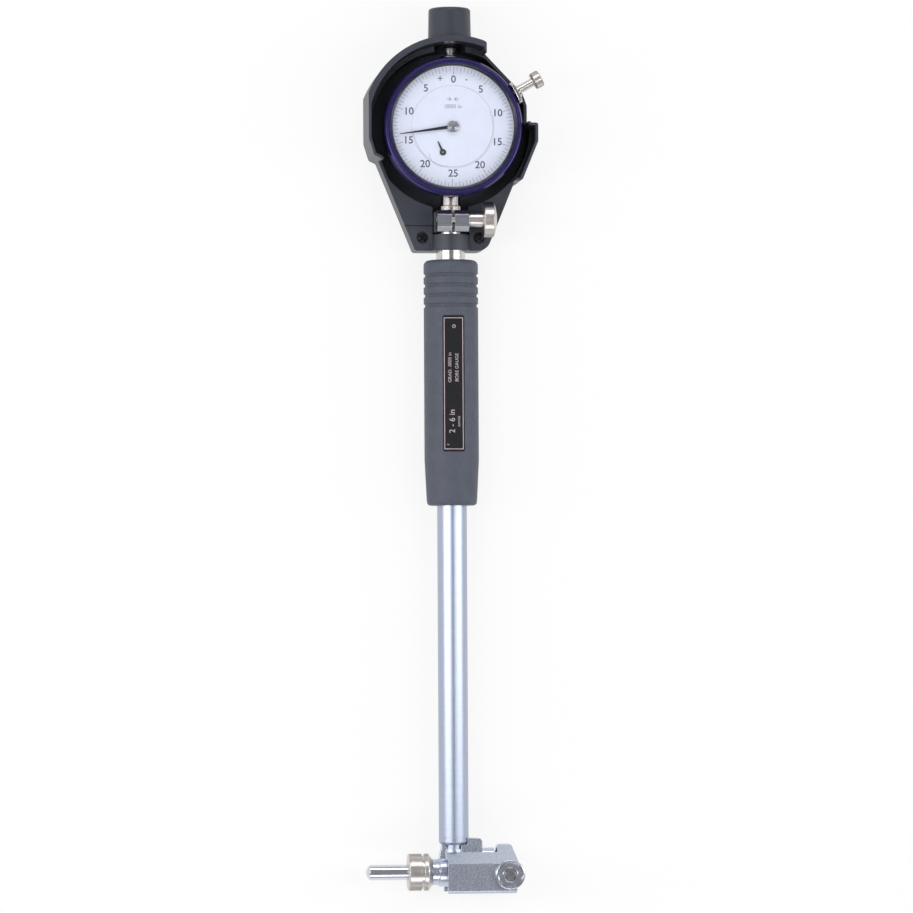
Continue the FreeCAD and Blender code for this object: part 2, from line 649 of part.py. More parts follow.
def spindle_cap():
    low = DIAL_HEIGHT + CASE_R + 5.5
    return turned_y([(0, low), (3.0, low), (3.0, low + 2.2, 0.8), (0, low + 2.2)])


POSTS = tuple((BEZEL_R * across, BEZEL_R * up) for across, up in
              ((0.561, 0.204), (0.421, -0.456), (0.189, 0.614), (-0.674, -0.154)))
POST_R = 1.5
PLATE_R = CASE_R - 5.1
PLATE_CUT = BEZEL_R * 2 / 3  # half height between the straight sides of a plate
BRIDGE_WIDTH = 4.8
BACK_PLATE = (-5.6, -4.6)
FRONT_PLATE = (5.8, CASE_FLOOR_BACK)
TAKE_UP = polar(WHEEL_DISTANCE, TAKE_UP_ANGLE)
SHAFTS = ((SMALL_HAND_X, SMALL_HAND_Y, 0.6), (TAKE_UP[0], TAKE_UP[1], 0.5))


def movement_plate(low, high, centre_hole):
    """Round plate with its sides cut straight and bearing holes for the shafts."""
    body = rod_z(PLATE_R, low, high, 0, DIAL_HEIGHT).common(
        block(-PLATE_R, PLATE_R, DIAL_HEIGHT - PLATE_CUT, DIAL_HEIGHT + PLATE_CUT, low, high))
    for x, y, radius in SHAFTS:
        body = body.cut(rod_z(radius + RUN, low - 1, high + 1, x, DIAL_HEIGHT + y))
    if centre_hole:
        body = body.cut(rod_z(0.5 + RUN, low - 1, high + 1, 0, DIAL_HEIGHT))
    for i in range(4):
        x, y = polar(BACK_SCREW_R, 45 + 90 * i)
        body = body.cut(rod_z(2.2, low - 1, high + 1, x, DIAL_HEIGHT + y))
    return body


def movement_posts():
    posts = [rod_z(POST_R, BACK_PLATE[1], FRONT_PLATE[0], x, DIAL_HEIGHT + y)
             for x, y in POSTS]
    return Part.makeCompound(posts)


def centre_bridge():
    """Strip in front of the spindle that carries the rear pivot of the centre pinion."""
    low, high = 2.3, 3.0
    ends = (POSTS[3], POSTS[0])
    (x0, y0), (x1, y1) = ends
    length = math.hypot(x1 - x0, y1 - y0)
    half = BRIDGE_WIDTH / 2
    across = ((y0 - y1) / length * half, (x1 - x0) / length * half)
    body = prism_z([(x0 + across[0], y0 + across[1]), (x0 - across[0], y0 - across[1]),
                    (x1 - across[0], y1 - across[1]), (x1 + across[0], y1 + across[1])],
                   low, high)
    for x, y in ends:
        body = body.fuse(rod_z(half, low, high, x, y))
    body = body.removeSplitter()
    for x, y in ends:
        body = body.cut(rod_z(POST_R + SEAT, low - 1, high + 1, x, y))
    body.translate(V(0, DIAL_HEIGHT, 0))
    return body.cut(rod_z(0.4 + RUN, low - 1, high + 1, 0, DIAL_HEIGHT))


def rack_pinion():
    """Shaft with the pinion that the rack turns, the wheel above it, and the small hand."""
    x, y = SMALL_HAND_X, DIAL_HEIGHT + SMALL_HAND_Y
    shaft = turned_z([(0, BACK_PLATE[0]), (0.6, BACK_PLATE[0]), (0.6, 13.0), (0, 13.0)], x, y)
    pinion = gear(RACK_PINION_TEETH, RACK_MODULE, -1.8, 1.8, x, y, 0.0)
    return fused(shaft, pinion)


def rack_wheel():
    x, y = SMALL_HAND_X, DIAL_HEIGHT + SMALL_HAND_Y
    body = gear(WHEEL_TEETH, WHEEL_MODULE, 3.5, 4.1, x, y, WHEEL_DIRECTION + 180)
    for i in range(4):
        px, py = polar(5.6, WHEEL_DIRECTION + 45 + 90 * i)
        body = body.cut(rod_z(2.6, 3, 5, x + px, y + py))
    return body.cut(rod_z(0.6, 3, 5, x, y))


def take_up_wheel():
    """Wheel that the hairspring loads, to hold the train against one flank."""
    x, y = TAKE_UP[0], DIAL_HEIGHT + TAKE_UP[1]
    body = gear(WHEEL_TEETH, WHEEL_MODULE, 4.5, 5.1, x, y, TAKE_UP_ANGLE + 180)
    for i in range(4):
        px, py = polar(5.6, TAKE_UP_ANGLE + 45 + 90 * i)
        body = body.cut(rod_z(2.6, 4, 6, x + px, y + py))
    return fused(body, rod_z(0.5, BACK_PLATE[0], FRONT_PLATE[1], x, y))


def centre_pinion():
    # a gap between two teeth faces each wheel
    facing = WHEEL_DIRECTION + 180.0 / CENTRE_TEETH
    teeth = gear(CENTRE_TEETH, WHEEL_MODULE, 3.3, 5.4, 0, DIAL_HEIGHT, facing)
    shaft = turned_z([(0, 2.3), (0.4, 2.3), (0.4, 3.2), (0.5, 3.3), (0.5, 14.0), (0, 14.0)],
                     0, DIAL_HEIGHT)
    return fused(teeth, shaft)


def hand(length, tail, width, tip, low, high, degrees, hub_r, bore_r):
    blade = prism_z([(-tail, -width / 2), (0, -width / 2), (length, -tip / 2),
                     (length, tip / 2), (0, width / 2), (-tail, width / 2)], low, high)
    body = fused(blade, rod_z(hub_r, low, high)).cut(rod_z(bore_r, low - 1, high + 1))
    body.rotate(V(0, 0, 0), V(0, 0, 1), degrees)
    return body


def main_hand():
    body = hand(MAIN_HAND_LENGTH, 0.5, 1.5, 0.3, 13.3, 13.5, MAIN_HAND_ANGLE, 1.6, 0.5)
    body.translate(V(0, DIAL_HEIGHT, 0))
    return body


def main_hand_hub():
    return turned_z([(0.5, 13.5), (2.4, 13.5), (2.4, 13.75), (0.9, 14.05), (0.5, 14.05)],
                    0, DIAL_HEIGHT)


def small_hand():
    body = hand(SMALL_HAND_LENGTH, 1.2, 1.0, 0.35, 12.8, 13.0, SMALL_HAND_ANGLE, 1.3, 0.6)
    body.translate(V(SMALL_HAND_X, DIAL_HEIGHT + SMALL_HAND_Y, 0))
    return body


def dial_centre():
    """Fixed middle of the dial on three feet, with the scale of the small hand."""
    top = DIAL_BACK + DIAL_THICK
    body = rod_z(DIAL_SPLIT_R, DIAL_BACK, top, 0, DIAL_HEIGHT)
    for i in range(3):
        x, y = polar(DIAL_SPLIT_R - 3.5, 90 + 120 * i)
        body = body.fuse(rod_z(1.2, CASE_FLOOR_FRONT, DIAL_BACK, x, DIAL_HEIGHT + y))
    body = body.cut(rod_z(1.1, CASE_FLOOR_FRONT, top + 1, 0, DIAL_HEIGHT))
    return body.cut(rod_z(1.1, CASE_FLOOR_FRONT, top + 1, SMALL_HAND_X,
                          DIAL_HEIGHT + SMALL_HAND_Y)).removeSplitter()


def dial_ring():
    """Outer part of the dial with the main scale, turning with the bezel."""
    outer = BEZEL_SEAT_R - SEAT
    return turned_z([(DIAL_SPLIT_R + 0.08, DIAL_BACK), (outer, DIAL_BACK),
                     (outer, DIAL_BACK + DIAL_THICK), (DIAL_SPLIT_R + 0.08, DIAL_BACK + DIAL_THICK)],
                    0, DIAL_HEIGHT)


def dial_spacer():
    """Black ring between dial and crystal."""
    low, high = DIAL_BACK + DIAL_THICK, CRYSTAL_BACK
    return turned_z([(BEZEL_SIGHT_R + 0.2, low), (BEZEL_SEAT_R - SEAT, low),
                     (BEZEL_SEAT_R - SEAT, high), (BEZEL_SIGHT_R, high)], 0, DIAL_HEIGHT)


def crystal():
    return rod_z(BEZEL_SEAT_R - SEAT, CRYSTAL_BACK, CRYSTAL_BACK + CRYSTAL_THICK, 0, DIAL_HEIGHT)


def crystal_ring():
    """Snap ring that holds the crystal in the bezel."""
    low = CRYSTAL_BACK + CRYSTAL_THICK
    return turned_z([(BEZEL_SIGHT_R, low), (BEZEL_SEAT_R - SEAT, low),
                     (BEZEL_SEAT_R - SEAT, BEZEL_FRONT - 0.7), (BEZEL_SIGHT_R + 0.5, BEZEL_FRONT - 0.9)],
                    0, DIAL_HEIGHT)


def bezel():
    """Ring that carries the dial and crystal, with a stepped front and a knurled edge."""
    return turned_z([
        (CASE_NECK_R + RUN, BEZEL_BACK), (BEZEL_R - 0.5, BEZEL_BACK), (BEZEL_R, BEZEL_BACK + 0.5),
        (BEZEL_R, BEZEL_FRONT - 2.6), (BEZEL_R - 0.6, BEZEL_FRONT - 1.4),
        (BEZEL_R - 1.0, BEZEL_FRONT - 1.3), (BEZEL_R - 1.2, BEZEL_FRONT - 0.4, 0.3),
        (BEZEL_R - 1.6, BEZEL_FRONT), (BEZEL_SEAT_R + 0.4, BEZEL_FRONT),
        (BEZEL_SEAT_R, BEZEL_FRONT - 0.5),
        (BEZEL_SEAT_R, DIAL_BACK), (BEZEL_SEAT_R - 1.2, DIAL_BACK),
        (BEZEL_SEAT_R - 1.2, DIAL_BACK - 0.5), (CASE_NECK_R + RUN, DIAL_BACK - 0.5)],
        0, DIAL_HEIGHT)


def about_dial(shape, degrees):
    """Moves a shape built along +X from the origin to a radius of the dial."""
    shape.rotate(V(0, 0, 0), V(0, 0, 1), degrees)
    shape.translate(V(0, DIAL_HEIGHT, 0))
    return shape


def bezel_clamp_bracket():
    """Foot on the side of the case with a curved upright that carries the clamp screw."""
    inner, outer = BEZEL_R + 0.5, BEZEL_R + 2.0
    half_angle = 9.0
    x0 = CASE_R * math.cos(math.radians(half_angle)) - 0.6
    foot = turned_z([(CASE_R, 1.9), (outer, 1.9, 0.4), (outer, CASE_SHOULDER - 0.2),
                     (CASE_R, CASE_SHOULDER - 0.2)])
    upright = turned_z([(inner, CASE_SHOULDER - 0.2), (outer, CASE_SHOULDER - 0.2), (outer, 15.0, 0.5),
                        (inner, 15.0, 0.4)])
    half = inner * math.sin(math.radians(half_angle))
    sector = prism_x([(-half, 0, 1.0), (half, 0, 1.0), (half, 15.2, 2.2), (-half, 15.2, 2.2)],
                     x0, outer + 1)
    body = foot.fuse(upright).removeSplitter().common(sector)
    boss = rod_x(2.6, outer - 0.4, outer + 0.8, 0, BEZEL_CLAMP_Z)
    body = fused(body, boss).cut(rod_x(BEZEL_CLAMP_SHANK_R - 0.35 + RUN, CASE_R, outer + 2, 0, BEZEL_CLAMP_Z))
    return about_dial(body, BEZEL_CLAMP_ANGLE)


def bezel_clamp_screw():
    """Screw whose end bears on the edge of the bezel."""
    shoulder = BEZEL_R + 2.9
    thread_r = BEZEL_CLAMP_SHANK_R - 0.35
    screw = turned_x([
        (0, BEZEL_R + 0.1), (thread_r, BEZEL_R + 0.1), (thread_r, shoulder),
        (BEZEL_CLAMP_SHANK_R, shoulder), (BEZEL_CLAMP_SHANK_R, BEZEL_CLAMP_HEAD),
        (BEZEL_CLAMP_HEAD_R, BEZEL_CLAMP_HEAD, 0.3), (BEZEL_CLAMP_HEAD_R, BEZEL_CLAMP_HEAD + 3.5, 0.5),
        (0, BEZEL_CLAMP_HEAD + 3.5)])
    screw.translate(V(0, 0, BEZEL_CLAMP_Z))
    return about_dial(screw, BEZEL_CLAMP_ANGLE)


# ---------------------------------------------------------------- measuring head
FACET = GUIDE_HALF + GUIDE_SHOULDER   # the facet is the plane y + |z| = FACET
GUIDE_WALL = GUIDE_HALF - HEAD_HALF - RUN


def head_body():
    """Block with the crank inside, a spigot for the anvil and a socket for the stem."""
    inner_facet = FACET - GUIDE_WALL * math.sqrt(2) - 2 * RUN
    half_top = inner_facet - HEAD_TOP
    section = [
        (HEAD_LOW, -HEAD_HALF, 0.6), (HEAD_LOW, HEAD_HALF, 0.6),
        (inner_facet - HEAD_HALF, HEAD_HALF), (HEAD_TOP, half_top),
        (HEAD_TOP, -half_top), (inner_facet - HEAD_HALF, -HEAD_HALF)]
    body = prism_x(section, HEAD_LEFT, HEAD_RIGHT)
    ridge = rod_x(RIDGE_R, STOP_RIGHT + 0.05, RIDGE_END, RIDGE_TOP - RIDGE_R, 0).cut(
        block(HEAD_RIGHT, RIDGE_END + 1, -20, HEAD_TOP - 2.5, -20, 20))
    left = turned_x([
        (0, SPIGOT_END), (SPIGOT_R, SPIGOT_END), (SPIGOT_R, NUT_RIGHT + 0.1), (NECK_R, NUT_RIGHT + 0.1),
        (NECK_R, -6.3), (FLANGE_R - 0.3, -6.3), (FLANGE_R, -6.0), (FLANGE_R, HEAD_LEFT),
        (0, HEAD_LEFT)])
    web = prism_z([(-6.2, 4.0), (-6.2, 5.3), (-5.0, FERRULE_LOW - 0.2, 0.5),
                   (-3.6, FERRULE_LOW - 0.2, 0.3), (-2.4, 8.6), (-1.0, 7.9), (-1.0, 4.0)], -2.6, 2.6)
    socket = rod_y(SOCKET_R, HEAD_TOP - 3, HEAD_TOP + 1.4)
    body = fused(body, ridge, left, web, socket)
    # socket for the neck of the ferrule, and the way through for the push rod
    body = body.cut(rod_y(FERRULE_NECK_R + SEAT, SOCKET_FLOOR, 14))
    body = body.cut(rod_y(PUSH_ROD_R + RUN, 3.0, 12))
    # chamber of the bell crank, closed by the guide at both sides
    chamber_top = SOCKET_FLOOR - 0.2
    chamber = prism_z([(-2.0, chamber_top, 0.6), (-2.0, 2.4, 1), (2.0, -2.2, 1), (CHAMBER_RIGHT, -2.2, 1),
                       (CHAMBER_RIGHT, chamber_top, 0.6)], -CRANK_HALF - 0.3, CRANK_HALF + 0.3)
    body = body.cut(chamber)
    body = body.cut(rod_x(CONTACT_R + RUN, CHAMBER_RIGHT - 0.5, CHAMBER_RIGHT + 1.0))
    body = body.cut(rod_z(CRANK_PIN_R + SEAT, -HEAD_HALF - 1, HEAD_HALF + 1, CRANK_ARM, CRANK_ARM))
    # bores of the contact bush, the anvil and the rods of the guide
    body = body.cut(rod_x(BUSH_R, CHAMBER_RIGHT + 0.4, HEAD_RIGHT + 1))
    body = body.cut(rod_x(ANVIL_R + SEAT, SPIGOT_END - 1, -5.5))
    for side in (-1, 1):
        body = body.cut(rod_x(GUIDE_ROD_R + RUN, 1.6, HEAD_RIGHT + 3, -5.0, side * 5.4))
    return body


def head_stop_block():
    """Block screwed beside the foot of the stem, cut round to clear it."""
    body = prism_z([(2.6, HEAD_TOP), (STOP_RIGHT, HEAD_TOP), (STOP_RIGHT, 12.9, 1.2),
                    (STOP_RIGHT - 0.8, 13.7, 0.8),
                    (5.4, 13.9, 0.6), (2.6, 12.6)], -3.6, 3.6)
    body = body.cut(rod_y(TUBE_R + 0.3, 11.0, 16))
    body = body.cut(rod_y(SOCKET_R + RUN, 7, 11.6))
    return body.cut(rod_z(0.5, 2.4, 5, 8.6, 9.0))


def contact_bush():
    """Bush in the end of the head that the contact slides in."""
    left, outer = CHAMBER_RIGHT + 0.4, BUSH_R - SEAT
    body = turned_x([(0, left), (outer, left), (outer, HEAD_RIGHT), (0, HEAD_RIGHT)])
    return body.cut(rod_x(CONTACT_R + RUN, 6, HEAD_RIGHT + 1))


def contact_point():
    """Sliding contact with a thin nose on the crank and a ball-shaped outer end."""
    inner = CRANK_ARM + CRANK_BALL_R + RUN
    shoulder = CHAMBER_RIGHT + TRAVEL
    body = turned_x([(0, inner), (0.8, inner, 0.2), (0.8, shoulder), (CONTACT_R, shoulder, 0.3),
                     (CONTACT_R, CONTACT_TIP - 1.6), (0, CONTACT_TIP - 1.6)])
    tip = Part.makeSphere(3.0, V(CONTACT_TIP - 3.0, 0, 0)).common(
        rod_x(CONTACT_R, CONTACT_TIP - 1.7, CONTACT_TIP + 1))
    return fused(body, tip)


def bell_crank():
    """Right-angled lever: one ball under the contact, one under the push rod."""
    pivot_x, pivot_y = CRANK_ARM, CRANK_ARM
    arm_down = block(pivot_x - 0.8, pivot_x + 0.8, 0, pivot_y, -CRANK_HALF, CRANK_HALF)
    arm_left = block(0, pivot_x, pivot_y - 0.8, pivot_y + 0.8, -CRANK_HALF, CRANK_HALF)
    hub = rod_z(1.7, -CRANK_HALF, CRANK_HALF, pivot_x, pivot_y)
    ends = [rod_z(CRANK_BALL_R, -CRANK_HALF, CRANK_HALF, pivot_x, 0),
            rod_z(CRANK_BALL_R, -CRANK_HALF, CRANK_HALF, 0, pivot_y)]
    body = fused(hub, arm_down, arm_left, *ends)
    return body.cut(rod_z(CRANK_PIN_R + RUN, -5, 5, pivot_x, pivot_y))


def crank_pin():
    return rod_z(CRANK_PIN_R, -6.4, 6.4, CRANK_ARM, CRANK_ARM)


def guide():
    """Sliding bridge: two bent side plates joined by a block that carries the rollers."""
    section = [
        (GUIDE_LOW, GUIDE_HALF - 1.0), (GUIDE_LOW + 1.0, GUIDE_HALF), (GUIDE_SHOULDER, GUIDE_HALF),
        (GUIDE_TOP, FACET - GUIDE_TOP), (GUIDE_TOP, GUIDE_SLOT_HALF),
        (FACET - GUIDE_WALL * math.sqrt(2) - GUIDE_SLOT_HALF, GUIDE_SLOT_HALF),
        (FACET - GUIDE_WALL * math.sqrt(2) - GUIDE_HALF + GUIDE_WALL, GUIDE_HALF - GUIDE_WALL),
        (GUIDE_LOW, GUIDE_HALF - GUIDE_WALL)]
    front = prism_x(section, GUIDE_LEFT, BRIDGE_LEFT + 1)
    rear = front.mirror(V(0, 0, 0), V(0, 0, 1))
    side = prism_z([
        (BRIDGE_LEFT, GUIDE_LOW), (GUIDE_RIGHT, GUIDE_LOW, 0.8), (GUIDE_RIGHT + 0.6, 4.5, 3.0),
        (23.4, BRIDGE_TOP, 1.6), (BRIDGE_LEFT, BRIDGE_TOP, 1.4)], -GUIDE_HALF, GUIDE_HALF)
    across = prism_x([
        (GUIDE_LOW, -GUIDE_HALF + 1.0), (GUIDE_LOW, GUIDE_HALF - 1.0),
        (GUIDE_LOW + 1.0, GUIDE_HALF), (GUIDE_SHOULDER, GUIDE_HALF),
        (BRIDGE_TOP, FACET - BRIDGE_TOP, 2.0), (BRIDGE_TOP, BRIDGE_TOP - FACET, 2.0),
        (GUIDE_SHOULDER, -GUIDE_HALF), (GUIDE_LOW + 1.0, -GUIDE_HALF)], BRIDGE_LEFT - 1, GUIDE_RIGHT + 2)
    body = fused(side.common(across), front, rear)
    body = body.cut(rod_x(CONTACT_R + 0.4, 10, 40))
    # pocket that takes the ridge of the head when the guide is pushed in
    body = body.cut(rod_x(RIDGE_R + 0.15, BRIDGE_LEFT - 1, RIDGE_END + GUIDE_TRAVEL + 0.3,
                          RIDGE_TOP - RIDGE_R, 0))
    for side_sign in (-1, 1):
        body = body.cut(rod_x(GUIDE_ROD_R, 10, BRIDGE_LEFT + 4, -5.0, side_sign * 5.4))
        low, high = sorted((side_sign * 5.0, side_sign * (GUIDE_HALF + 1)))
        body = body.cut(rod_z(1.5 + SEAT, low, high, ROLLER_X, ROLLER_Y))
    return body


def guide_rods():
    """Two rods pressed into the bridge that slide in the head."""
    return Part.makeCompound([rod_x(GUIDE_ROD_R, 4.8, BRIDGE_LEFT + 4, -5.0, side * 5.4)
                              for side in (-1, 1)])


def roller(side):
    """Grooved roller with a raised rim; side is +1 in front and -1 at the back."""
    body = turned_z([
        (ROLLER_BORE_R, ROLLER_INNER), (ROLLER_R, ROLLER_INNER, 0.4), (ROLLER_R, ROLLER_OUTER, 0.5),
        (ROLLER_R - 0.8, ROLLER_OUTER), (ROLLER_R - 1.2, ROLLER_OUTER - 0.5),
        (3.1, ROLLER_OUTER - 0.5), (2.9, ROLLER_OUTER - 0.25), (2.55, ROLLER_OUTER - 0.25),
        (2.55, ROLLER_OUTER - 1.4), (ROLLER_BORE_R, ROLLER_OUTER - 1.4)], ROLLER_X, ROLLER_Y)
    return body if side > 0 else body.mirror(V(0, 0, 0), V(0, 0, 1))


def roller_screws():
    """Shouldered screws that the rollers turn on, with a hexagon socket."""
    screws = []
    head_low = ROLLER_OUTER - 1.4 + RUN
    for side in (1, -1):
        screw = turned_z([(0, 5.6), (1.5, 5.6), (1.5, head_low), (2.35, head_low),
                          (2.35, ROLLER_OUTER - 0.3, 0.3), (0, ROLLER_OUTER - 0.3)],
                         ROLLER_X, ROLLER_Y)
        hexagon = [(ROLLER_X + polar(1.0, 60 * i)[0], ROLLER_Y + polar(1.0, 60 * i)[1])
                   for i in range(6)]
        screw = screw.cut(prism_z(hexagon, ROLLER_OUTER - 1.2, ROLLER_OUTER + 1))
        screws.append(screw if side > 0 else screw.mirror(V(0, 0, 0), V(0, 0, 1)))
    return Part.makeCompound(screws)


def roller_washers():
    """Thin washers between rollers and guide."""
    washers = []
    for side in (1, -1):
        washer = turned_z([(1.5 + RUN, GUIDE_HALF), (2.8, GUIDE_HALF), (2.8, ROLLER_INNER - RUN),
                           (1.5 + RUN, ROLLER_INNER - RUN)], ROLLER_X, ROLLER_Y)
        washers.append(washer if side > 0 else washer.mirror(V(0, 0, 0), V(0, 0, 1)))
    return Part.makeCompound(washers)


ANVIL_SHOULDER = SPIGOT_END - 1.2


def anvil():
    """Interchangeable fixed anvil with a ball-shaped end and a shoulder under the nut."""
    body = turned_x([
        (0, ANVIL_TIP + 1.6), (ANVIL_R, ANVIL_TIP + 1.6), (ANVIL_R, ANVIL_SHOULDER),
        (SPIGOT_R - 0.1, ANVIL_SHOULDER), (SPIGOT_R - 0.1, SPIGOT_END), (ANVIL_R, SPIGOT_END),
        (ANVIL_R, -6.0, 0.4), (0, -6.0)])
    ball = Part.makeSphere(ANVIL_TIP_R, V(ANVIL_TIP + ANVIL_TIP_R, 0, 0)).common(
        rod_x(ANVIL_R, ANVIL_TIP - 1, ANVIL_TIP + 1.7))
    return fused(body, ball)


def anvil_nut():
    """Knurled nut with a fine groove near its right end and a coned face."""
    groove = -12.9
    return turned_x([
        (ANVIL_R + 0.1, NUT_LEFT), (NUT_R, NUT_LEFT, 0.5), (NUT_R, groove - 0.45),
        (NUT_R - 0.9, groove - 0.45), (NUT_R - 0.9, groove + 0.45), (NUT_R, groove + 0.45),
        (NUT_R, -10.6), (NECK_R + 0.2, NUT_RIGHT), (SPIGOT_R + RUN, NUT_RIGHT - 0.35),
        (SPIGOT_R + RUN, ANVIL_SHOULDER - RUN), (ANVIL_R + 0.1, ANVIL_SHOULDER - RUN)])


# ---------------------------------------------------------------- all pieces by name
PIECES = {
    "cover_shell": cover_shell(),
    "cover_front_plate": cover_front_plate(),
    "cover_screws": cover_screws(),
    "grip": grip(),
    "label_plate": label_recess(0.0, LABEL_FACE - LABEL_THICK, LABEL_FACE),
    "stem_tube": stem_tube(),
    "tube_ferrule": tube_ferrule(),
    "stem_holder": stem_holder(),
    "push_rod": push_rod(),
    "clamp_ring": clamp_ring(),
    "thumb_screw": thumb_screw(),
    "indicator_case": indicator_case(),
    "indicator_back": indicator_back(),
    "back_posts": indicator_lug_posts(),
    "back_screws": indicator_back_screws(),
    "indicator_stem": indicator_stem(),
    "spindle_top_bush": spindle_top_bush(),
    "spindle": spindle(),
    "spindle_cap": spindle_cap(),
    "movement_back_plate": movement_plate(BACK_PLATE[0], BACK_PLATE[1], False),
    "movement_front_plate": movement_plate(FRONT_PLATE[0], FRONT_PLATE[1], True),
    "movement_posts": movement_posts(),
    "centre_bridge": centre_bridge(),
    "rack_pinion": rack_pinion(),
    "rack_wheel": rack_wheel(),
    "take_up_wheel": take_up_wheel(),
    "centre_pinion": centre_pinion(),
    "main_hand": main_hand(),
    "main_hand_hub": main_hand_hub(),
    "small_hand": small_hand(),
    "dial_centre": dial_centre(),
    "dial_ring": dial_ring(),
    "dial_spacer": dial_spacer(),
    "crystal": crystal(),
    "crystal_ring": crystal_ring(),
    "bezel": bezel(),
    "bezel_clamp_bracket": bezel_clamp_bracket(),
    "bezel_clamp_screw": bezel_clamp_screw(),
    "head_body": head_body(),
    "head_stop_block": head_stop_block(),
    "contact_bush": contact_bush(),
    "contact_point": contact_point(),
    "bell_crank": bell_crank(),
    "crank_pin": crank_pin(),
    "guide": guide(),
    "guide_rods": guide_rods(),
    "front_roller": roller(1),
    "rear_roller": roller(-1),
    "roller_screws": roller_screws(),
    "roller_washers": roller_washers(),
    "anvil": anvil(),
    "anvil_nut": anvil_nut(),
}

# set on the table: origin under the middle of the whole, at the height of the table
whole = Part.makeCompound(list(PIECES.values())).BoundBox
to_table = V(-whole.Center.x, -whole.Center.y, -whole.ZMin)
os.makedirs("parts", exist_ok=True)
for name, shape in PIECES.items():
    shape.translate(to_table)
    shape.exportStep("parts/" + name + ".step")
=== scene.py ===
import math
import bpy
from mathutils import Matrix, Vector


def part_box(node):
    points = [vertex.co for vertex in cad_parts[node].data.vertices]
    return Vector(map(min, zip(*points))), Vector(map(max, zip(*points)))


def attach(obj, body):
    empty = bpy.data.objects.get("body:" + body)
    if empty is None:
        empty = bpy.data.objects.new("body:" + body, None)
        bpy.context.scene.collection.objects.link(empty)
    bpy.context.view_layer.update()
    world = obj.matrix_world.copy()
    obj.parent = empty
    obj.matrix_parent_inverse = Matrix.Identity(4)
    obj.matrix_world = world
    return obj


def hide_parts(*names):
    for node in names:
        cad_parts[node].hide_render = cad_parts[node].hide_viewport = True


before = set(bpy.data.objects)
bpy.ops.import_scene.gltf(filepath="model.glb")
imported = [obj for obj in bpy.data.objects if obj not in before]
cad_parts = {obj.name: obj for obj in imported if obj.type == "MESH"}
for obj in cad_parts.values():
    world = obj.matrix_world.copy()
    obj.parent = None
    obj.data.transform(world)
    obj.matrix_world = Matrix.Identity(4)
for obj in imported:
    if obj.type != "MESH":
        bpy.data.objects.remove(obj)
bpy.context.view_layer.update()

# ---------------------------------------------------------------- where the gauge lies
# The gauge lies on its back, its stem along Y. The measuring axis crosses the stem axis at
# one point, and at() gives a place from there in millimetres: across, up the stem, and
# towards whoever reads the dial.
tube_low, tube_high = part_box("stem_tube")
anvil_low, anvil_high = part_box("anvil")
bezel_low, bezel_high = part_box("bezel")
crossing = Vector(((tube_low.x + tube_high.x) / 2, (anvil_low.y + anvil_high.y) / 2,
                   (tube_low.z + tube_high.z) / 2))
dial_up = (bezel_low.y + bezel_high.y) / 2 - crossing.y


def at(across, up, towards=0.0):
    return crossing + Vector((across, up, towards)) * 0.001


def deselect():
    if bpy.context.object and bpy.context.object.mode != "OBJECT":
        bpy.ops.object.mode_set(mode="OBJECT")
    bpy.ops.object.select_all(action="DESELECT")


# ---------------------------------------------------------------- camera
# A long lens well above the gauge, a little to its left and nearer its lower end, so that
# the inner face of the right guard and the underside of the bezel show.
lens_place = at(-195.65, 106.46, 2020.4)
looked_at = at(1.98, 170.35, 0.0)
forward = (looked_at - lens_place).normalized()
camera_lean = 0.00544
rightward = forward.cross(Vector((camera_lean, 1.0, 0.0))).normalized()
upward = rightward.cross(forward)
deselect()
bpy.ops.object.camera_add(location=lens_place)
camera = bpy.context.object
camera.matrix_world = Matrix((
    (rightward.x, upward.x, -forward.x, lens_place.x),
    (rightward.y, upward.y, -forward.y, lens_place.y),
    (rightward.z, upward.z, -forward.z, lens_place.z),
    (0.0, 0.0, 0.0, 1.0)))
camera.data.sensor_width = 36.0
camera.data.lens = 194.8
bpy.context.scene.camera = camera

# ---------------------------------------------------------------- table, lamps and room
# A wide white table under four large soft lamps: a tall strip at each side of the stem and
# a wide one beyond each end. The room is pale at the level of the table and grey overhead.
deselect()
bpy.ops.mesh.primitive_plane_add(size=40.0, location=(0.0, 0.0, -0.0002))
table = bpy.context.object
table.name = "table"
board = bpy.data.materials.new("white_table")
board.use_nodes = True
tree = board.node_tree
tree.nodes.remove(tree.nodes["Principled BSDF"])
matte = tree.nodes.new("ShaderNodeBsdfDiffuse")
matte.inputs["Color"].default_value = (0.85, 0.85, 0.85, 1.0)
glow = tree.nodes.new("ShaderNodeEmission")
glow.inputs["Color"].default_value = (1.0, 1.0, 1.0, 1.0)
glow.inputs["Strength"].default_value = 1.0
path = tree.nodes.new("ShaderNodeLightPath")
seen = tree.nodes.new("ShaderNodeMath")
seen.operation = "ADD"
seen_too = tree.nodes.new("ShaderNodeMath")
seen_too.operation = "ADD"
share = tree.nodes.new("ShaderNodeMath")
share.operation = "MULTIPLY"
table_glow = 0.82
share.inputs[1].default_value = table_glow
blend = tree.nodes.new("ShaderNodeMixShader")
tree.links.new(path.outputs["Is Camera Ray"], seen.inputs[0])
tree.links.new(path.outputs["Is Glossy Ray"], seen.inputs[1])
tree.links.new(seen.outputs[0], seen_too.inputs[0])
tree.links.new(path.outputs["Is Transmission Ray"], seen_too.inputs[1])
tree.links.new(seen_too.outputs[0], share.inputs[0])
seen_too.use_clamp = True
tree.links.new(share.outputs[0], blend.inputs[0])
tree.links.new(matte.outputs[0], blend.inputs[1])
tree.links.new(glow.outputs[0], blend.inputs[2])
tree.links.new(blend.outputs[0], tree.nodes["Material Output"].inputs["Surface"])
table.data.materials.append(board)


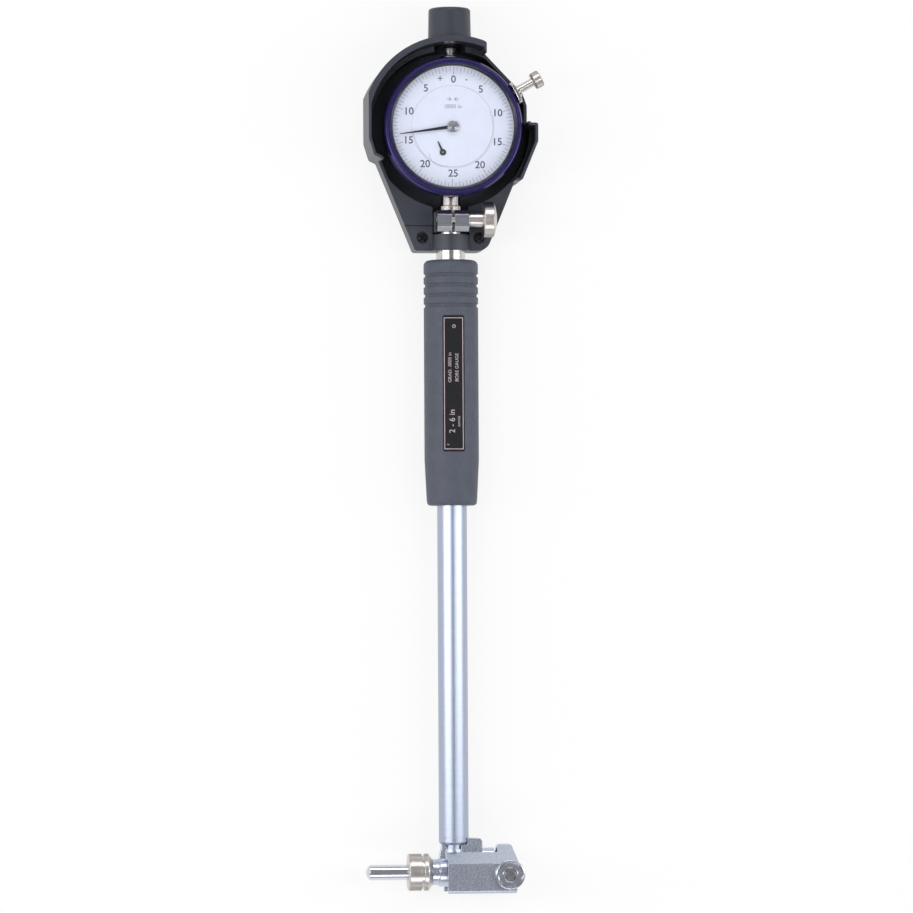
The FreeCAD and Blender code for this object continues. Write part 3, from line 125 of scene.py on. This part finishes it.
def lamp(name, place, aim, width, height, power):
    deselect()
    bpy.ops.object.light_add(type="AREA", location=place)
    light = bpy.context.object
    light.name = name
    light.rotation_euler = (aim - place).to_track_quat("-Z", "Y").to_euler()
    light.data.shape = "RECTANGLE"
    light.data.size = width
    light.data.size_y = height
    light.data.energy = power


middle = at(0.0, 170.0, 0.0)
lamp("lamp_left", middle + Vector((-0.75, 0.0, 0.75)), middle, 0.30, 1.1, 5.6)
lamp("lamp_right", middle + Vector((0.75, 0.0, 0.75)), middle, 0.30, 1.1, 4.6)
lamp("lamp_above", middle + Vector((0.0, 0.95, 0.75)), middle, 1.0, 0.35, 4.6)
lamp("lamp_below", middle + Vector((0.0, -0.95, 0.75)), middle, 1.0, 0.35, 3.6)

room = bpy.data.worlds.new("room")
bpy.context.scene.world = room
room.use_nodes = True
tree = room.node_tree
ground = tree.nodes["Background"]
ground.inputs["Strength"].default_value = 1.0
direction = tree.nodes.new("ShaderNodeTexCoord")
split = tree.nodes.new("ShaderNodeSeparateXYZ")
ramp = tree.nodes.new("ShaderNodeValToRGB")
ramp.color_ramp.elements[0].position = 0.05
ramp.color_ramp.elements[0].color = (0.95, 0.95, 0.95, 1.0)
ramp.color_ramp.elements[1].position = 0.35
ramp.color_ramp.elements[1].color = (0.30, 0.30, 0.31, 1.0)
tree.links.new(direction.outputs["Generated"], split.inputs[0])
tree.links.new(split.outputs["Z"], ramp.inputs[0])
tree.links.new(ramp.outputs[0], ground.inputs["Color"])

# ---------------------------------------------------------------- cover
# Tray and front plate moulded in dark grey nylon with a fine spark-eroded texture. The
# edges are slightly rounded by the mould and shine a little from handling.


def colour(red, green, blue):
    """Colour given in steps of 0 to 255 as it shows, for a shader."""
    return tuple(((c / 255 + 0.055) / 1.055) ** 2.4 for c in (red, green, blue))


def finish(name, tint, rough, metal=0.0, spread=0.10, blotch=120.0, rough_spread=0.05,
           grain=0.0, grain_scale=2500.0, depth=0.00004, edge=0.0, stretch=(1.0, 1.0, 1.0)):
    """Material whose colour, gloss and fine relief vary a little over the surface."""
    made = bpy.data.materials.new(name)
    made.use_nodes = True
    nodes, links = made.node_tree.nodes, made.node_tree.links
    shader = nodes["Principled BSDF"]
    shader.inputs["Metallic"].default_value = metal
    place = nodes.new("ShaderNodeTexCoord")
    laid = nodes.new("ShaderNodeMapping")
    laid.inputs["Scale"].default_value = stretch
    links.new(place.outputs["Object"], laid.inputs["Vector"])
    cloud = nodes.new("ShaderNodeTexNoise")
    cloud.inputs["Scale"].default_value = blotch
    cloud.inputs["Detail"].default_value = 4.0
    links.new(laid.outputs[0], cloud.inputs["Vector"])
    shades = nodes.new("ShaderNodeValToRGB")
    shades.color_ramp.elements[0].position = 0.3
    shades.color_ramp.elements[1].position = 0.7
    base = colour(*tint)
    shades.color_ramp.elements[0].color = tuple(c * (1 - spread) for c in base) + (1.0,)
    shades.color_ramp.elements[1].color = tuple(min(1.0, c * (1 + spread)) for c in base) + (1.0,)
    links.new(cloud.outputs["Fac"], shades.inputs[0])
    links.new(shades.outputs[0], shader.inputs["Base Color"])
    gloss = nodes.new("ShaderNodeMapRange")
    gloss.inputs["To Min"].default_value = max(0.02, rough - rough_spread)
    gloss.inputs["To Max"].default_value = rough + rough_spread
    fine = nodes.new("ShaderNodeTexNoise")
    fine.inputs["Scale"].default_value = grain_scale
    fine.inputs["Detail"].default_value = 3.0
    links.new(laid.outputs[0], fine.inputs["Vector"])
    links.new(fine.outputs["Fac"], gloss.inputs["Value"])
    links.new(gloss.outputs[0], shader.inputs["Roughness"])
    last = None
    if edge:
        last = nodes.new("ShaderNodeBevel")
        last.samples = 4
        last.inputs["Radius"].default_value = edge
    if grain:
        relief = nodes.new("ShaderNodeBump")
        relief.inputs["Strength"].default_value = grain
        relief.inputs["Distance"].default_value = depth
        links.new(fine.outputs["Fac"], relief.inputs["Height"])
        if last:
            links.new(last.outputs[0], relief.inputs["Normal"])
        last = relief
    if last:
        links.new(last.outputs[0], shader.inputs["Normal"])
    return made


def dress(material, *names):
    """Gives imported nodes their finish."""
    for name in names:
        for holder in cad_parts[name].material_slots:
            holder.material = material


nylon = finish("cover_nylon", (50, 54, 64), 0.42, spread=0.08, blotch=90.0, grain=0.35,
               grain_scale=3500.0, depth=0.00005, edge=0.0005)
nylon.node_tree.nodes["Principled BSDF"].inputs["Specular IOR Level"].default_value = 0.5
dress(nylon, "cover_shell", "cover_front_plate")

# ---------------------------------------------------------------- cover screws
# Two cross-recessed steel screws, blackened, sunk in round seats of the front plate.
black_steel = finish("black_screw", (26, 26, 30), 0.34, metal=0.6, spread=0.25, blotch=900.0,
                     grain=0.3, grain_scale=6000.0, edge=0.0001)
dress(black_steel, "cover_screws")

# ---------------------------------------------------------------- grip
# Heat-insulating sleeve moulded in soft grey vinyl. Its surface carries a leather grain of
# small rounded pebbles, and four grooves run round its upper end.
vinyl = finish("grip_vinyl", (70, 75, 88), 0.55, spread=0.10, blotch=160.0)
tree = vinyl.node_tree
pebble = tree.nodes.new("ShaderNodeTexVoronoi")
pebble.feature = "F1"
pebble.inputs["Scale"].default_value = 900.0
wander = tree.nodes.new("ShaderNodeTexNoise")
wander.inputs["Scale"].default_value = 420.0
wander.inputs["Detail"].default_value = 3.0
together = tree.nodes.new("ShaderNodeMath")
together.operation = "ADD"
lifted = tree.nodes.new("ShaderNodeBump")
lifted.inputs["Strength"].default_value = 0.65
lifted.inputs["Distance"].default_value = 0.00022
spot = tree.nodes["Mapping"]
tree.links.new(spot.outputs[0], pebble.inputs["Vector"])
tree.links.new(spot.outputs[0], wander.inputs["Vector"])
tree.links.new(pebble.outputs["Distance"], together.inputs[0])
tree.links.new(wander.outputs["Fac"], together.inputs[1])
tree.links.new(together.outputs[0], lifted.inputs["Height"])
lifted.invert = True
tree.links.new(lifted.outputs[0], tree.nodes["Principled BSDF"].inputs["Normal"])
dress(vinyl, "grip")

# ---------------------------------------------------------------- label
# Black anodised plate let into the grip, with a silver frame line and plain lettering that
# reads up the stem.
label_low, label_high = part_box("label_plate")
label_middle = (label_low + label_high) / 2
plate_black = finish("label_black", (22, 22, 27), 0.35, metal=0.3, spread=0.2, blotch=400.0)
dress(plate_black, "label_plate")
silver_print = finish("label_silver", (205, 190, 196), 0.35, metal=0.4, spread=0.08, blotch=900.0)

deselect()
bpy.ops.mesh.primitive_plane_add(size=1.0, location=(label_middle.x, label_middle.y,
                                                     label_high.z + 0.00002))
line = bpy.context.object
line.name = "label_frame_line"
line_across, line_along, line_width = 0.0079, 0.054, 0.00028
bpy.ops.object.mode_set(mode="EDIT")
bpy.ops.mesh.select_all(action="SELECT")
bpy.ops.transform.resize(value=(line_across, line_along, 1.0))
bpy.ops.mesh.inset(thickness=line_width, depth=0.0)
bpy.ops.mesh.delete(type="FACE")
bpy.ops.mesh.select_all(action="SELECT")
bpy.ops.mesh.extrude_region_move(TRANSFORM_OT_translate={"value": (0.0, 0.0, -0.00003)})
bpy.ops.mesh.select_all(action="SELECT")
bpy.ops.mesh.normals_make_consistent(inside=False)
bpy.ops.object.mode_set(mode="OBJECT")
bpy.ops.object.transform_apply(location=True, rotation=True, scale=True)
line.data.materials.append(silver_print)
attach(line, "gauge")


def lettering(name, words, size, place, turn, ink, body, weight=0.0):
    """Printed words, 0.01 mm thick, centred on a place and turned about Z."""
    deselect()
    bpy.ops.object.text_add(location=(0.0, 0.0, 0.0))
    piece = bpy.context.object
    piece.data.body = words
    piece.data.size = size
    piece.data.align_x = "CENTER"
    piece.data.align_y = "CENTER"
    piece.data.extrude = 0.00001
    piece.data.offset = weight
    piece.data.resolution_u = 4
    bpy.ops.object.convert(target="MESH")
    piece = bpy.context.object
    piece.name = name
    piece.rotation_euler = (0.0, 0.0, turn)
    piece.location = place
    bpy.ops.object.transform_apply(location=True, rotation=True, scale=True)
    piece.data.materials.clear()
    piece.data.materials.append(ink)
    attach(piece, body)


over_label = label_high.z - crossing.z
on_label = (over_label + 0.00001) * 1000
up_the_stem = math.radians(90.0)
for name, words, size, across, up in (
        ("label_range", "2 - 6 in", 0.0034, -0.6, 184.5),
        ("label_range_note", "RANGE", 0.0013, 2.2, 184.5),
        ("label_reading", "GRAD. .0005 in", 0.0019, -1.5, 206.5),
        ("label_note", "BORE GAUGE", 0.0019, 1.4, 206.5),
        ("label_mark", "o", 0.0030, 0.0, 223.4),
        ("label_corner", "F", 0.0014, -2.2, 175.0)):
    lettering(name, words, size, at(across, up, on_label), up_the_stem, silver_print,
              "gauge")

# ---------------------------------------------------------------- stem tube
# Drawn steel tube in satin chrome, with faint rings left by its grinding, plugged at the
# lower end by a ferrule of the same finish.
satin_chrome = finish("tube_satin", (172, 180, 198), 0.36, metal=1.0, spread=0.03, blotch=60.0,
                      rough_spread=0.05, grain=0.12, grain_scale=260.0, depth=0.00002,
                      edge=0.0002, stretch=(1.0, 14.0, 1.0))
dress(satin_chrome, "stem_tube", "tube_ferrule")

# ---------------------------------------------------------------- collar and indicator stem
# Bright ground steel: the holder that closes on the indicator stem, the stem itself and
# the turned bush at the top of the case.
bright_steel = finish("bright_steel", (205, 200, 198), 0.16, metal=1.0, spread=0.05, blotch=120.0,
                      rough_spread=0.04, grain=0.08, grain_scale=300.0, depth=0.00002,
                      edge=0.0002, stretch=(1.0, 10.0, 1.0))
dress(bright_steel, "stem_holder", "indicator_stem", "spindle_top_bush", "spindle_cap")

# ---------------------------------------------------------------- clamp ring
# Split steel clamp with two square lugs, milled and nickel plated: the milling shows as
# fine lines along the lugs.
milled = finish("clamp_milled", (178, 180, 188), 0.24, metal=1.0, spread=0.05, blotch=150.0,
                rough_spread=0.06, grain=0.12, grain_scale=500.0, depth=0.00002, edge=0.0002,
                stretch=(1.0, 8.0, 1.0))
dress(milled, "clamp_ring")

# ---------------------------------------------------------------- thumb screw
# Turned steel screw with a diamond-knurled head, nickel plated. It draws the two lugs of
# the clamp together and stands off the right one on its smooth neck.


def pick(piece, wanted):
    """Selects the vertices that wanted() accepts, in edit mode."""
    bpy.ops.mesh.select_mode(type="VERT")
    bpy.ops.mesh.select_all(action="DESELECT")
    bpy.ops.object.mode_set(mode="OBJECT")
    for vertex in piece.data.vertices:
        vertex.select = wanted(vertex.co)
    bpy.ops.object.mode_set(mode="EDIT")


def turned(name, profile, segments, closed=False):
    """Ring of vertices drawn along Z through (radius, height) corners in millimetres."""
    deselect()
    radius, height = profile[0][0] * 0.001, profile[0][1] * 0.001
    bpy.ops.mesh.primitive_circle_add(vertices=segments, radius=radius,
                                      location=(0.0, 0.0, 0.0), fill_type="NOTHING")
    piece = bpy.context.object
    piece.name = name
    bpy.ops.object.mode_set(mode="EDIT")
    bpy.ops.mesh.select_all(action="SELECT")
    bpy.ops.transform.translate(value=(0.0, 0.0, height))
    if not closed:
        bpy.ops.mesh.edge_face_add()
        bpy.ops.mesh.select_all(action="SELECT")
    for wide, high in profile[1:]:
        wide, high = wide * 0.001, high * 0.001
        bpy.ops.mesh.extrude_region_move(
            TRANSFORM_OT_translate={"value": (0.0, 0.0, high - height)})
        bpy.ops.transform.resize(value=(wide / radius, wide / radius, 1.0),
                                 center_override=(0.0, 0.0, high))
        radius, height = wide, high
    if closed:
        bpy.ops.mesh.select_all(action="SELECT")
        bpy.ops.mesh.remove_doubles(threshold=0.000002)
    bpy.ops.mesh.select_all(action="SELECT")
    bpy.ops.mesh.normals_make_consistent(inside=False)
    return piece


def diamond_knurl(piece, segments, rows, radius, deep):
    """Lowers every other vertex of the rows at this radius, so that diamonds stand up."""
    heights = [h * 0.001 for h in rows]

    def lowered(place):
        if abs(place.xy.length - radius * 0.001) > 0.00001:
            return False
        for order, h in enumerate(heights):
            if abs(place.z - h) < 0.00001:
                step = round(math.atan2(place.y, place.x) / (2 * math.pi) * segments)
                return (step + order) % 2 == 1
        return False

    pick(piece, lowered)
    factor = (radius - deep) / radius
    bpy.ops.transform.resize(value=(factor, factor, 1.0), center_override=(0.0, 0.0, 0.0))


def laid(piece, turn, place):
    """Turns the finished piece, sets it in its place and applies both."""
    bpy.ops.object.mode_set(mode="OBJECT")
    bpy.ops.object.shade_smooth_by_angle(angle=math.radians(28.0))
    piece.rotation_euler = turn
    piece.location = place
    bpy.ops.object.transform_apply(location=True, rotation=True, scale=True)


knurled_nickel = finish("knurled_nickel", (205, 200, 196), 0.30, metal=1.0, spread=0.08,
                        blotch=500.0, rough_spread=0.05, grain=0.1, grain_scale=3000.0)
head_radius, teeth_round, tooth_depth = 7.2, 96, 0.28
rows = [12.95 + 0.44 * i for i in range(9)]
screw = turned("thumb_screw_knurled", [
    (1.2, -6.1), (1.45, -5.85), (1.45, 6.55), (2.8, 6.55), (2.8, 7.0), (3.2, 7.1), (3.2, 12.35),
    (3.35, 12.5), (6.9, 12.5), (head_radius, 12.75)] + [(head_radius, r) for r in rows] + [
    (head_radius, 16.65), (6.9, 16.9), (6.5, 17.08), (5.76, 17.37), (4.8, 17.62), (3.96, 17.81),
    (2.9, 18.0), (2.16, 18.08), (1.0, 18.17)], teeth_round)
diamond_knurl(screw, teeth_round, rows, head_radius, tooth_depth)
thumb_low, thumb_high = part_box("thumb_screw")
thumb_middle = (thumb_low + thumb_high) / 2
laid(screw, (0.0, math.radians(90.0), 0.0), (crossing.x, thumb_middle.y, thumb_middle.z))
screw.data.materials.append(knurled_nickel)
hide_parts("thumb_screw")
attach(screw, "thumb_screw")

# ---------------------------------------------------------------- indicator case
# Die-cast case painted black, with a plain back cover held by four slotted screws.
case_black = finish("case_black", (24, 24, 28), 0.35, spread=0.15, blotch=200.0, grain=0.2,
                    grain_scale=3000.0, edge=0.0004)
dress(case_black, "indicator_case", "indicator_back", "back_posts")
dress(black_steel, "back_screws")

# ---------------------------------------------------------------- bezel
# Aluminium ring anodised dark violet blue, with a fine straight knurl round its edge and a
# turned front of two steps. It carries the dial ring and the crystal and turns with them.
violet = finish("bezel_anodised", (44, 38, 92), 0.26, metal=0.55, spread=0.12, blotch=300.0,
                rough_spread=0.06, grain=0.1, grain_scale=2500.0)
bezel_radius, flutes = 28.5, 360
flute_low, flute_high, flute_bottom = 8.6, 14.1, 0.9877
ring = turned("bezel_knurled", [
    (26.05, 7.8), (28.0, 7.8), (bezel_radius, 8.3), (bezel_radius, 8.7), (bezel_radius, 14.0),
    (bezel_radius, 14.4),
    (27.9, 15.6), (27.5, 15.7), (27.42, 16.1), (27.3, 16.6), (26.9, 17.0), (26.2, 17.0),
    (25.9, 16.75), (25.8, 16.5), (25.8, 12.0), (24.6, 12.0), (24.6, 11.5), (26.05, 11.5),
    (26.05, 7.8)], flutes, closed=True)


def groove_of_edge(place):
    step = round(math.atan2(place.y, place.x) / (2 * math.pi) * flutes)
    on_edge = abs(place.xy.length - bezel_radius * 0.001) < 0.00001
    return on_edge and flute_low * 0.001 < place.z < flute_high * 0.001 and step % 2


pick(ring, groove_of_edge)
bpy.ops.transform.resize(value=(flute_bottom, flute_bottom, 1.0), center_override=(0.0, 0.0, 0.0))
dial_middle = Vector((crossing.x, crossing.y + dial_up, crossing.z))
laid(ring, (0.0, 0.0, 0.0), dial_middle)
ring.data.materials.append(violet)
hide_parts("bezel")
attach(ring, "bezel")
spacer_black = finish("ring_black", (14, 13, 22), 0.30, spread=0.2, blotch=400.0)
dress(spacer_black, "dial_spacer", "crystal_ring")

# ---------------------------------------------------------------- dial
# Aluminium dial in matt bluish white: the ring with the main scale turns with the bezel,
# the middle with the scale of the small hand is fixed. Both are screen printed.
dial_white = finish("dial_white", (214, 220, 238), 0.5, spread=0.02, blotch=300.0)
dress(dial_white, "dial_ring", "dial_centre")
ink_dark = finish("dial_ink", (60, 68, 84), 0.5, spread=0.12, blotch=800.0)
# Grey for the lighter print, also used for the painted shadow line along the step round the fixed
# centre disc.
pale_ink_and_painted_shadow = finish("dial_grey_print_and_painted_shadow", (112, 122, 142), 0.5, spread=0.12, blotch=800.0)
dial_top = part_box("dial_ring")[1].z - crossing.z
ink_height = dial_top * 1000 + 0.012


def on_dial(across, up, over=0.0):
    return at(across, dial_up * 1000 + up, ink_height + over)


def strokes(name, count, first, inner, outer, width, ink, body):
    """Radial strokes spaced evenly round the dial, printed as one piece."""
    deselect()
    bpy.ops.mesh.primitive_cube_add(size=1.0, location=on_dial(0.0, (inner + outer) / 2),
                                    scale=(width * 0.001, (outer - inner) * 0.001, 0.00002))
    piece = bpy.context.object
    piece.name = name
    bpy.ops.object.transform_apply(location=True, rotation=True, scale=True)
    centre = on_dial(0.0, 0.0)
    bpy.ops.object.mode_set(mode="EDIT")
    bpy.ops.mesh.select_all(action="SELECT")
    bpy.ops.transform.rotate(value=math.radians(-first), orient_axis="Z", center_override=centre)
    bpy.ops.mesh.spin(steps=count - 1, dupli=True, angle=2 * math.pi * (count - 1) / count,
                      center=centre, axis=(0.0, 0.0, 1.0), use_auto_merge=False)
    bpy.ops.object.mode_set(mode="OBJECT")
    piece.data.materials.append(ink)
    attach(piece, body)


# the bezel and its scale stand turned a little clockwise
lean = -0.9
scale_out, all_in, units_in, fives_in = 24.7, 22.9, 22.4, 21.6
strokes("scale_all", 100, lean, all_in, scale_out, 0.12, ink_dark, "bezel")
strokes("scale_units", 50, lean, units_in, all_in, 0.14, ink_dark, "bezel")
strokes("scale_fives", 10, lean, fives_in, units_in, 0.20, ink_dark, "bezel")
numeral_size, numeral_weight, numeral_ring, degrees_each = 0.0042, 0.00006, 19.2, 7.2
for side, where in ((-1, "left"), (1, "right")):
    for number in (5, 10, 15, 20):
        bearing = math.radians(side * number * degrees_each - lean)
        lettering("numeral_%d_%s" % (number, where), str(number), numeral_size,
                  on_dial(numeral_ring * math.sin(bearing), numeral_ring * math.cos(bearing)), 0.0,
                  ink_dark, "bezel", numeral_weight)
for number, up in ((0, 19.4), (25, -19.2)):
    lettering("numeral_%d" % number, str(number), numeral_size,
              on_dial(-0.3 * number / 25 + 0.3, up), 0.0, ink_dark, "bezel", numeral_weight)
lettering("sign_plus", "+", numeral_size, on_dial(-5.2, 19.6), 0.0, ink_dark, "bezel")
lettering("sign_minus", "-", numeral_size, on_dial(5.6, 19.6), 0.0, ink_dark, "bezel")


def printed_arc(name, radius, width, start, sweep, centre, ink, body):
    """Thin flat arc on the dial, for print and for a painted shadow line, from a bearing taken
    clockwise from the top, swept anticlockwise.
    """
    deselect()
    start_place = centre + Vector((0.0, radius * 0.001, 0.0))
    bpy.ops.mesh.primitive_plane_add(size=1.0, location=start_place,
                                     rotation=(0.0, math.radians(90.0), 0.0))
    piece = bpy.context.object
    piece.name = name
    piece.scale = (0.00002, width * 0.001, 1.0)
    bpy.ops.object.transform_apply(location=True, rotation=True, scale=True)
    bpy.ops.object.mode_set(mode="EDIT")
    bpy.ops.mesh.select_all(action="SELECT")
    bpy.ops.transform.rotate(value=math.radians(start), orient_axis="Z", center_override=centre)
    bpy.ops.mesh.spin(steps=max(8, int(abs(sweep) / 2)), dupli=False, angle=math.radians(-sweep),
                      center=centre, axis=(0.0, 0.0, 1.0), use_auto_merge=False)
    bpy.ops.mesh.select_all(action="SELECT")
    bpy.ops.mesh.normals_make_consistent(inside=False)
    bpy.ops.object.mode_set(mode="OBJECT")
    piece.data.materials.append(ink)
    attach(piece, body)


# Painted shadow: this thin grey arc stands for the shade along the step between the turning dial
# ring and the fixed centre disc, over just over half the round. It is not print.
printed_arc("painted_step_shadow_arc", 16.5, 0.14, -98.0, 196.0, on_dial(0.0, 0.0), pale_ink_and_painted_shadow, "gauge")
hub_low, hub_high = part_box("rack_wheel")
small_axis = (hub_low + hub_high) / 2
small_centre = Vector((small_axis.x, small_axis.y, on_dial(0.0, 0.0).z))
printed_arc("small_arc", 5.7, 0.12, -95.0, 100.0, small_centre, pale_ink_and_painted_shadow, "gauge")
lettering("reading_arrows", "→ ←", 0.0026, on_dial(0.0, 11.3), 0.0, ink_dark, "gauge")
lettering("reading_value", ".0005 in", 0.0023, on_dial(0.0, 8.3), 0.0, pale_ink_and_painted_shadow, "gauge")

# ---------------------------------------------------------------- hands
# Blackened steel hands with a domed nickel hub over the long one.
hand_black = finish("hand_black", (30, 36, 42), 0.35, metal=0.5, spread=0.15, blotch=900.0)
dress(hand_black, "main_hand", "small_hand")
hub_grey = finish("hub_nickel", (150, 150, 158), 0.30, metal=0.9, spread=0.12, blotch=700.0,
                  edge=0.0001)
dress(hub_grey, "main_hand_hub")

# ---------------------------------------------------------------- crystal
# Clear moulded acrylic disc over the dial. It lets lamp light through to the dial.
clear = bpy.data.materials.new("crystal_clear")
clear.use_nodes = True
tree = clear.node_tree
glass = tree.nodes["Principled BSDF"]
glass.inputs["Base Color"].default_value = (1.0, 1.0, 1.0, 1.0)
glass.inputs["Roughness"].default_value = 0.0
glass.inputs["IOR"].default_value = 1.45
glass.inputs["Transmission Weight"].default_value = 1.0
open_air = tree.nodes.new("ShaderNodeBsdfTransparent")
path = tree.nodes.new("ShaderNodeLightPath")
choice = tree.nodes.new("ShaderNodeMixShader")
through = tree.nodes.new("ShaderNodeMath")
through.operation = "MAXIMUM"
tree.links.new(path.outputs["Is Shadow Ray"], through.inputs[0])
tree.links.new(path.outputs["Is Diffuse Ray"], through.inputs[1])
tree.links.new(through.outputs[0], choice.inputs[0])
tree.links.new(glass.outputs[0], choice.inputs[1])
tree.links.new(open_air.outputs[0], choice.inputs[2])
tree.links.new(choice.outputs[0], tree.nodes["Material Output"].inputs["Surface"])
dress(clear, "crystal")

# ---------------------------------------------------------------- bezel clamp
# Bent steel bracket on the side of the case and its knurled screw, both nickel plated.
dress(bright_steel, "bezel_clamp_bracket")
head_radius, teeth_round, tooth_depth = 3.5, 48, 0.22
rows = [38.55 + 0.43 * i for i in range(7)]
clamp_screw = turned("bezel_clamp_screw_knurled", [
    (1.15, 28.6), (1.4, 28.9), (1.4, 31.4), (1.75, 31.4), (1.75, 37.9), (1.95, 38.1), (3.2, 38.1),
    (head_radius, 38.4)] + [(head_radius, r) for r in rows] + [
    (head_radius, 41.25), (3.15, 41.6), (0.9, 41.6), (0.6, 41.35)], teeth_round)
diamond_knurl(clamp_screw, teeth_round, rows, head_radius, tooth_depth)
screw_low, screw_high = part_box("bezel_clamp_screw")
screw_middle = (screw_low + screw_high) / 2
bearing = math.atan2(screw_middle.y - dial_middle.y, screw_middle.x - dial_middle.x)
laid(clamp_screw, (0.0, math.radians(90.0), bearing),
     (dial_middle.x, dial_middle.y, screw_middle.z))
clamp_screw.data.materials.append(knurled_nickel)
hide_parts("bezel_clamp_screw")
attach(clamp_screw, "bezel_clamp_screw")

# ---------------------------------------------------------------- measuring head
# Steel block milled all over and satin chrome plated, with the stop block screwed on it.
head_chrome = finish("head_chrome", (196, 203, 218), 0.27, metal=1.0, spread=0.05, blotch=120.0,
                     rough_spread=0.06, grain=0.12, grain_scale=420.0, depth=0.00002,
                     edge=0.0003, stretch=(6.0, 1.0, 6.0))
dress(head_chrome, "head_body", "head_stop_block", "guide", "contact_bush")

# ---------------------------------------------------------------- rollers and their screws
# Hardened steel rollers with a turned dish in the face, on shouldered socket screws.
roller_steel = finish("roller_steel", (200, 203, 212), 0.20, metal=1.0, spread=0.06, blotch=300.0,
                      rough_spread=0.05, grain=0.1, grain_scale=1200.0, edge=0.0002)
dress(roller_steel, "front_roller", "rear_roller")
screw_steel = finish("roller_screw_steel", (150, 150, 155), 0.30, metal=1.0, spread=0.15,
                     blotch=900.0, grain=0.15, grain_scale=4000.0, edge=0.0001)
dress(screw_steel, "roller_screws", "roller_washers")

# ---------------------------------------------------------------- anvil and contact
# Ground and lapped steel rods with ball ends, brighter than the head.
lapped = finish("anvil_lapped", (214, 216, 224), 0.14, metal=1.0, spread=0.04, blotch=200.0,
                rough_spread=0.04, grain=0.06, grain_scale=300.0, depth=0.00002,
                edge=0.0002, stretch=(12.0, 1.0, 1.0))
dress(lapped, "anvil", "contact_point")

# ---------------------------------------------------------------- anvil nut
# Turned nut with a diamond knurl, split by one narrow groove, nickel plated.
nut_radius, teeth_round, tooth_depth = 7.55, 104, 0.26
rows_a = [-18.35 + 0.44 * i for i in range(12)]
rows_b = [-12.25 + 0.44 * i for i in range(4)]
nut = turned("anvil_nut_knurled", [
    (3.25, -19.0), (7.15, -19.0), (nut_radius, -18.6)] + [(nut_radius, r) for r in rows_a] + [
    (7.3, -13.35), (6.65, -13.35), (6.65, -12.45), (7.3, -12.45)] + [
    (nut_radius, r) for r in rows_b] + [
    (nut_radius, -10.6), (5.55, -9.1), (4.65, -9.45), (4.65, -17.25), (3.25, -17.25), (3.25, -19.0)],
    teeth_round, closed=True)
diamond_knurl(nut, teeth_round, rows_a + rows_b, nut_radius, tooth_depth)
laid(nut, (0.0, math.radians(90.0), 0.0), crossing)
nut.data.materials.append(knurled_nickel)
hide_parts("anvil_nut")
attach(nut, "anvil_nut")

# ---------------------------------------------------------------- pieces inside
# Brass plates and wheels of the movement, and the steel rods, crank and shafts.
brass = finish("movement_brass", (188, 152, 84), 0.30, metal=1.0, spread=0.08, blotch=200.0,
               grain=0.1, grain_scale=1500.0, edge=0.0001)
dress(brass, "movement_back_plate", "movement_front_plate", "movement_posts", "centre_bridge",
      "rack_wheel", "take_up_wheel")
plain_steel = finish("plain_steel", (160, 162, 168), 0.28, metal=1.0, spread=0.08, blotch=250.0,
                     grain=0.1, grain_scale=1500.0, edge=0.0001)
dress(plain_steel, "push_rod", "bell_crank", "crank_pin", "guide_rods", "spindle", "rack_pinion",
      "centre_pinion")

# ---------------------------------------------------------------- view and close
bpy.context.scene.view_settings.view_transform = "Standard"
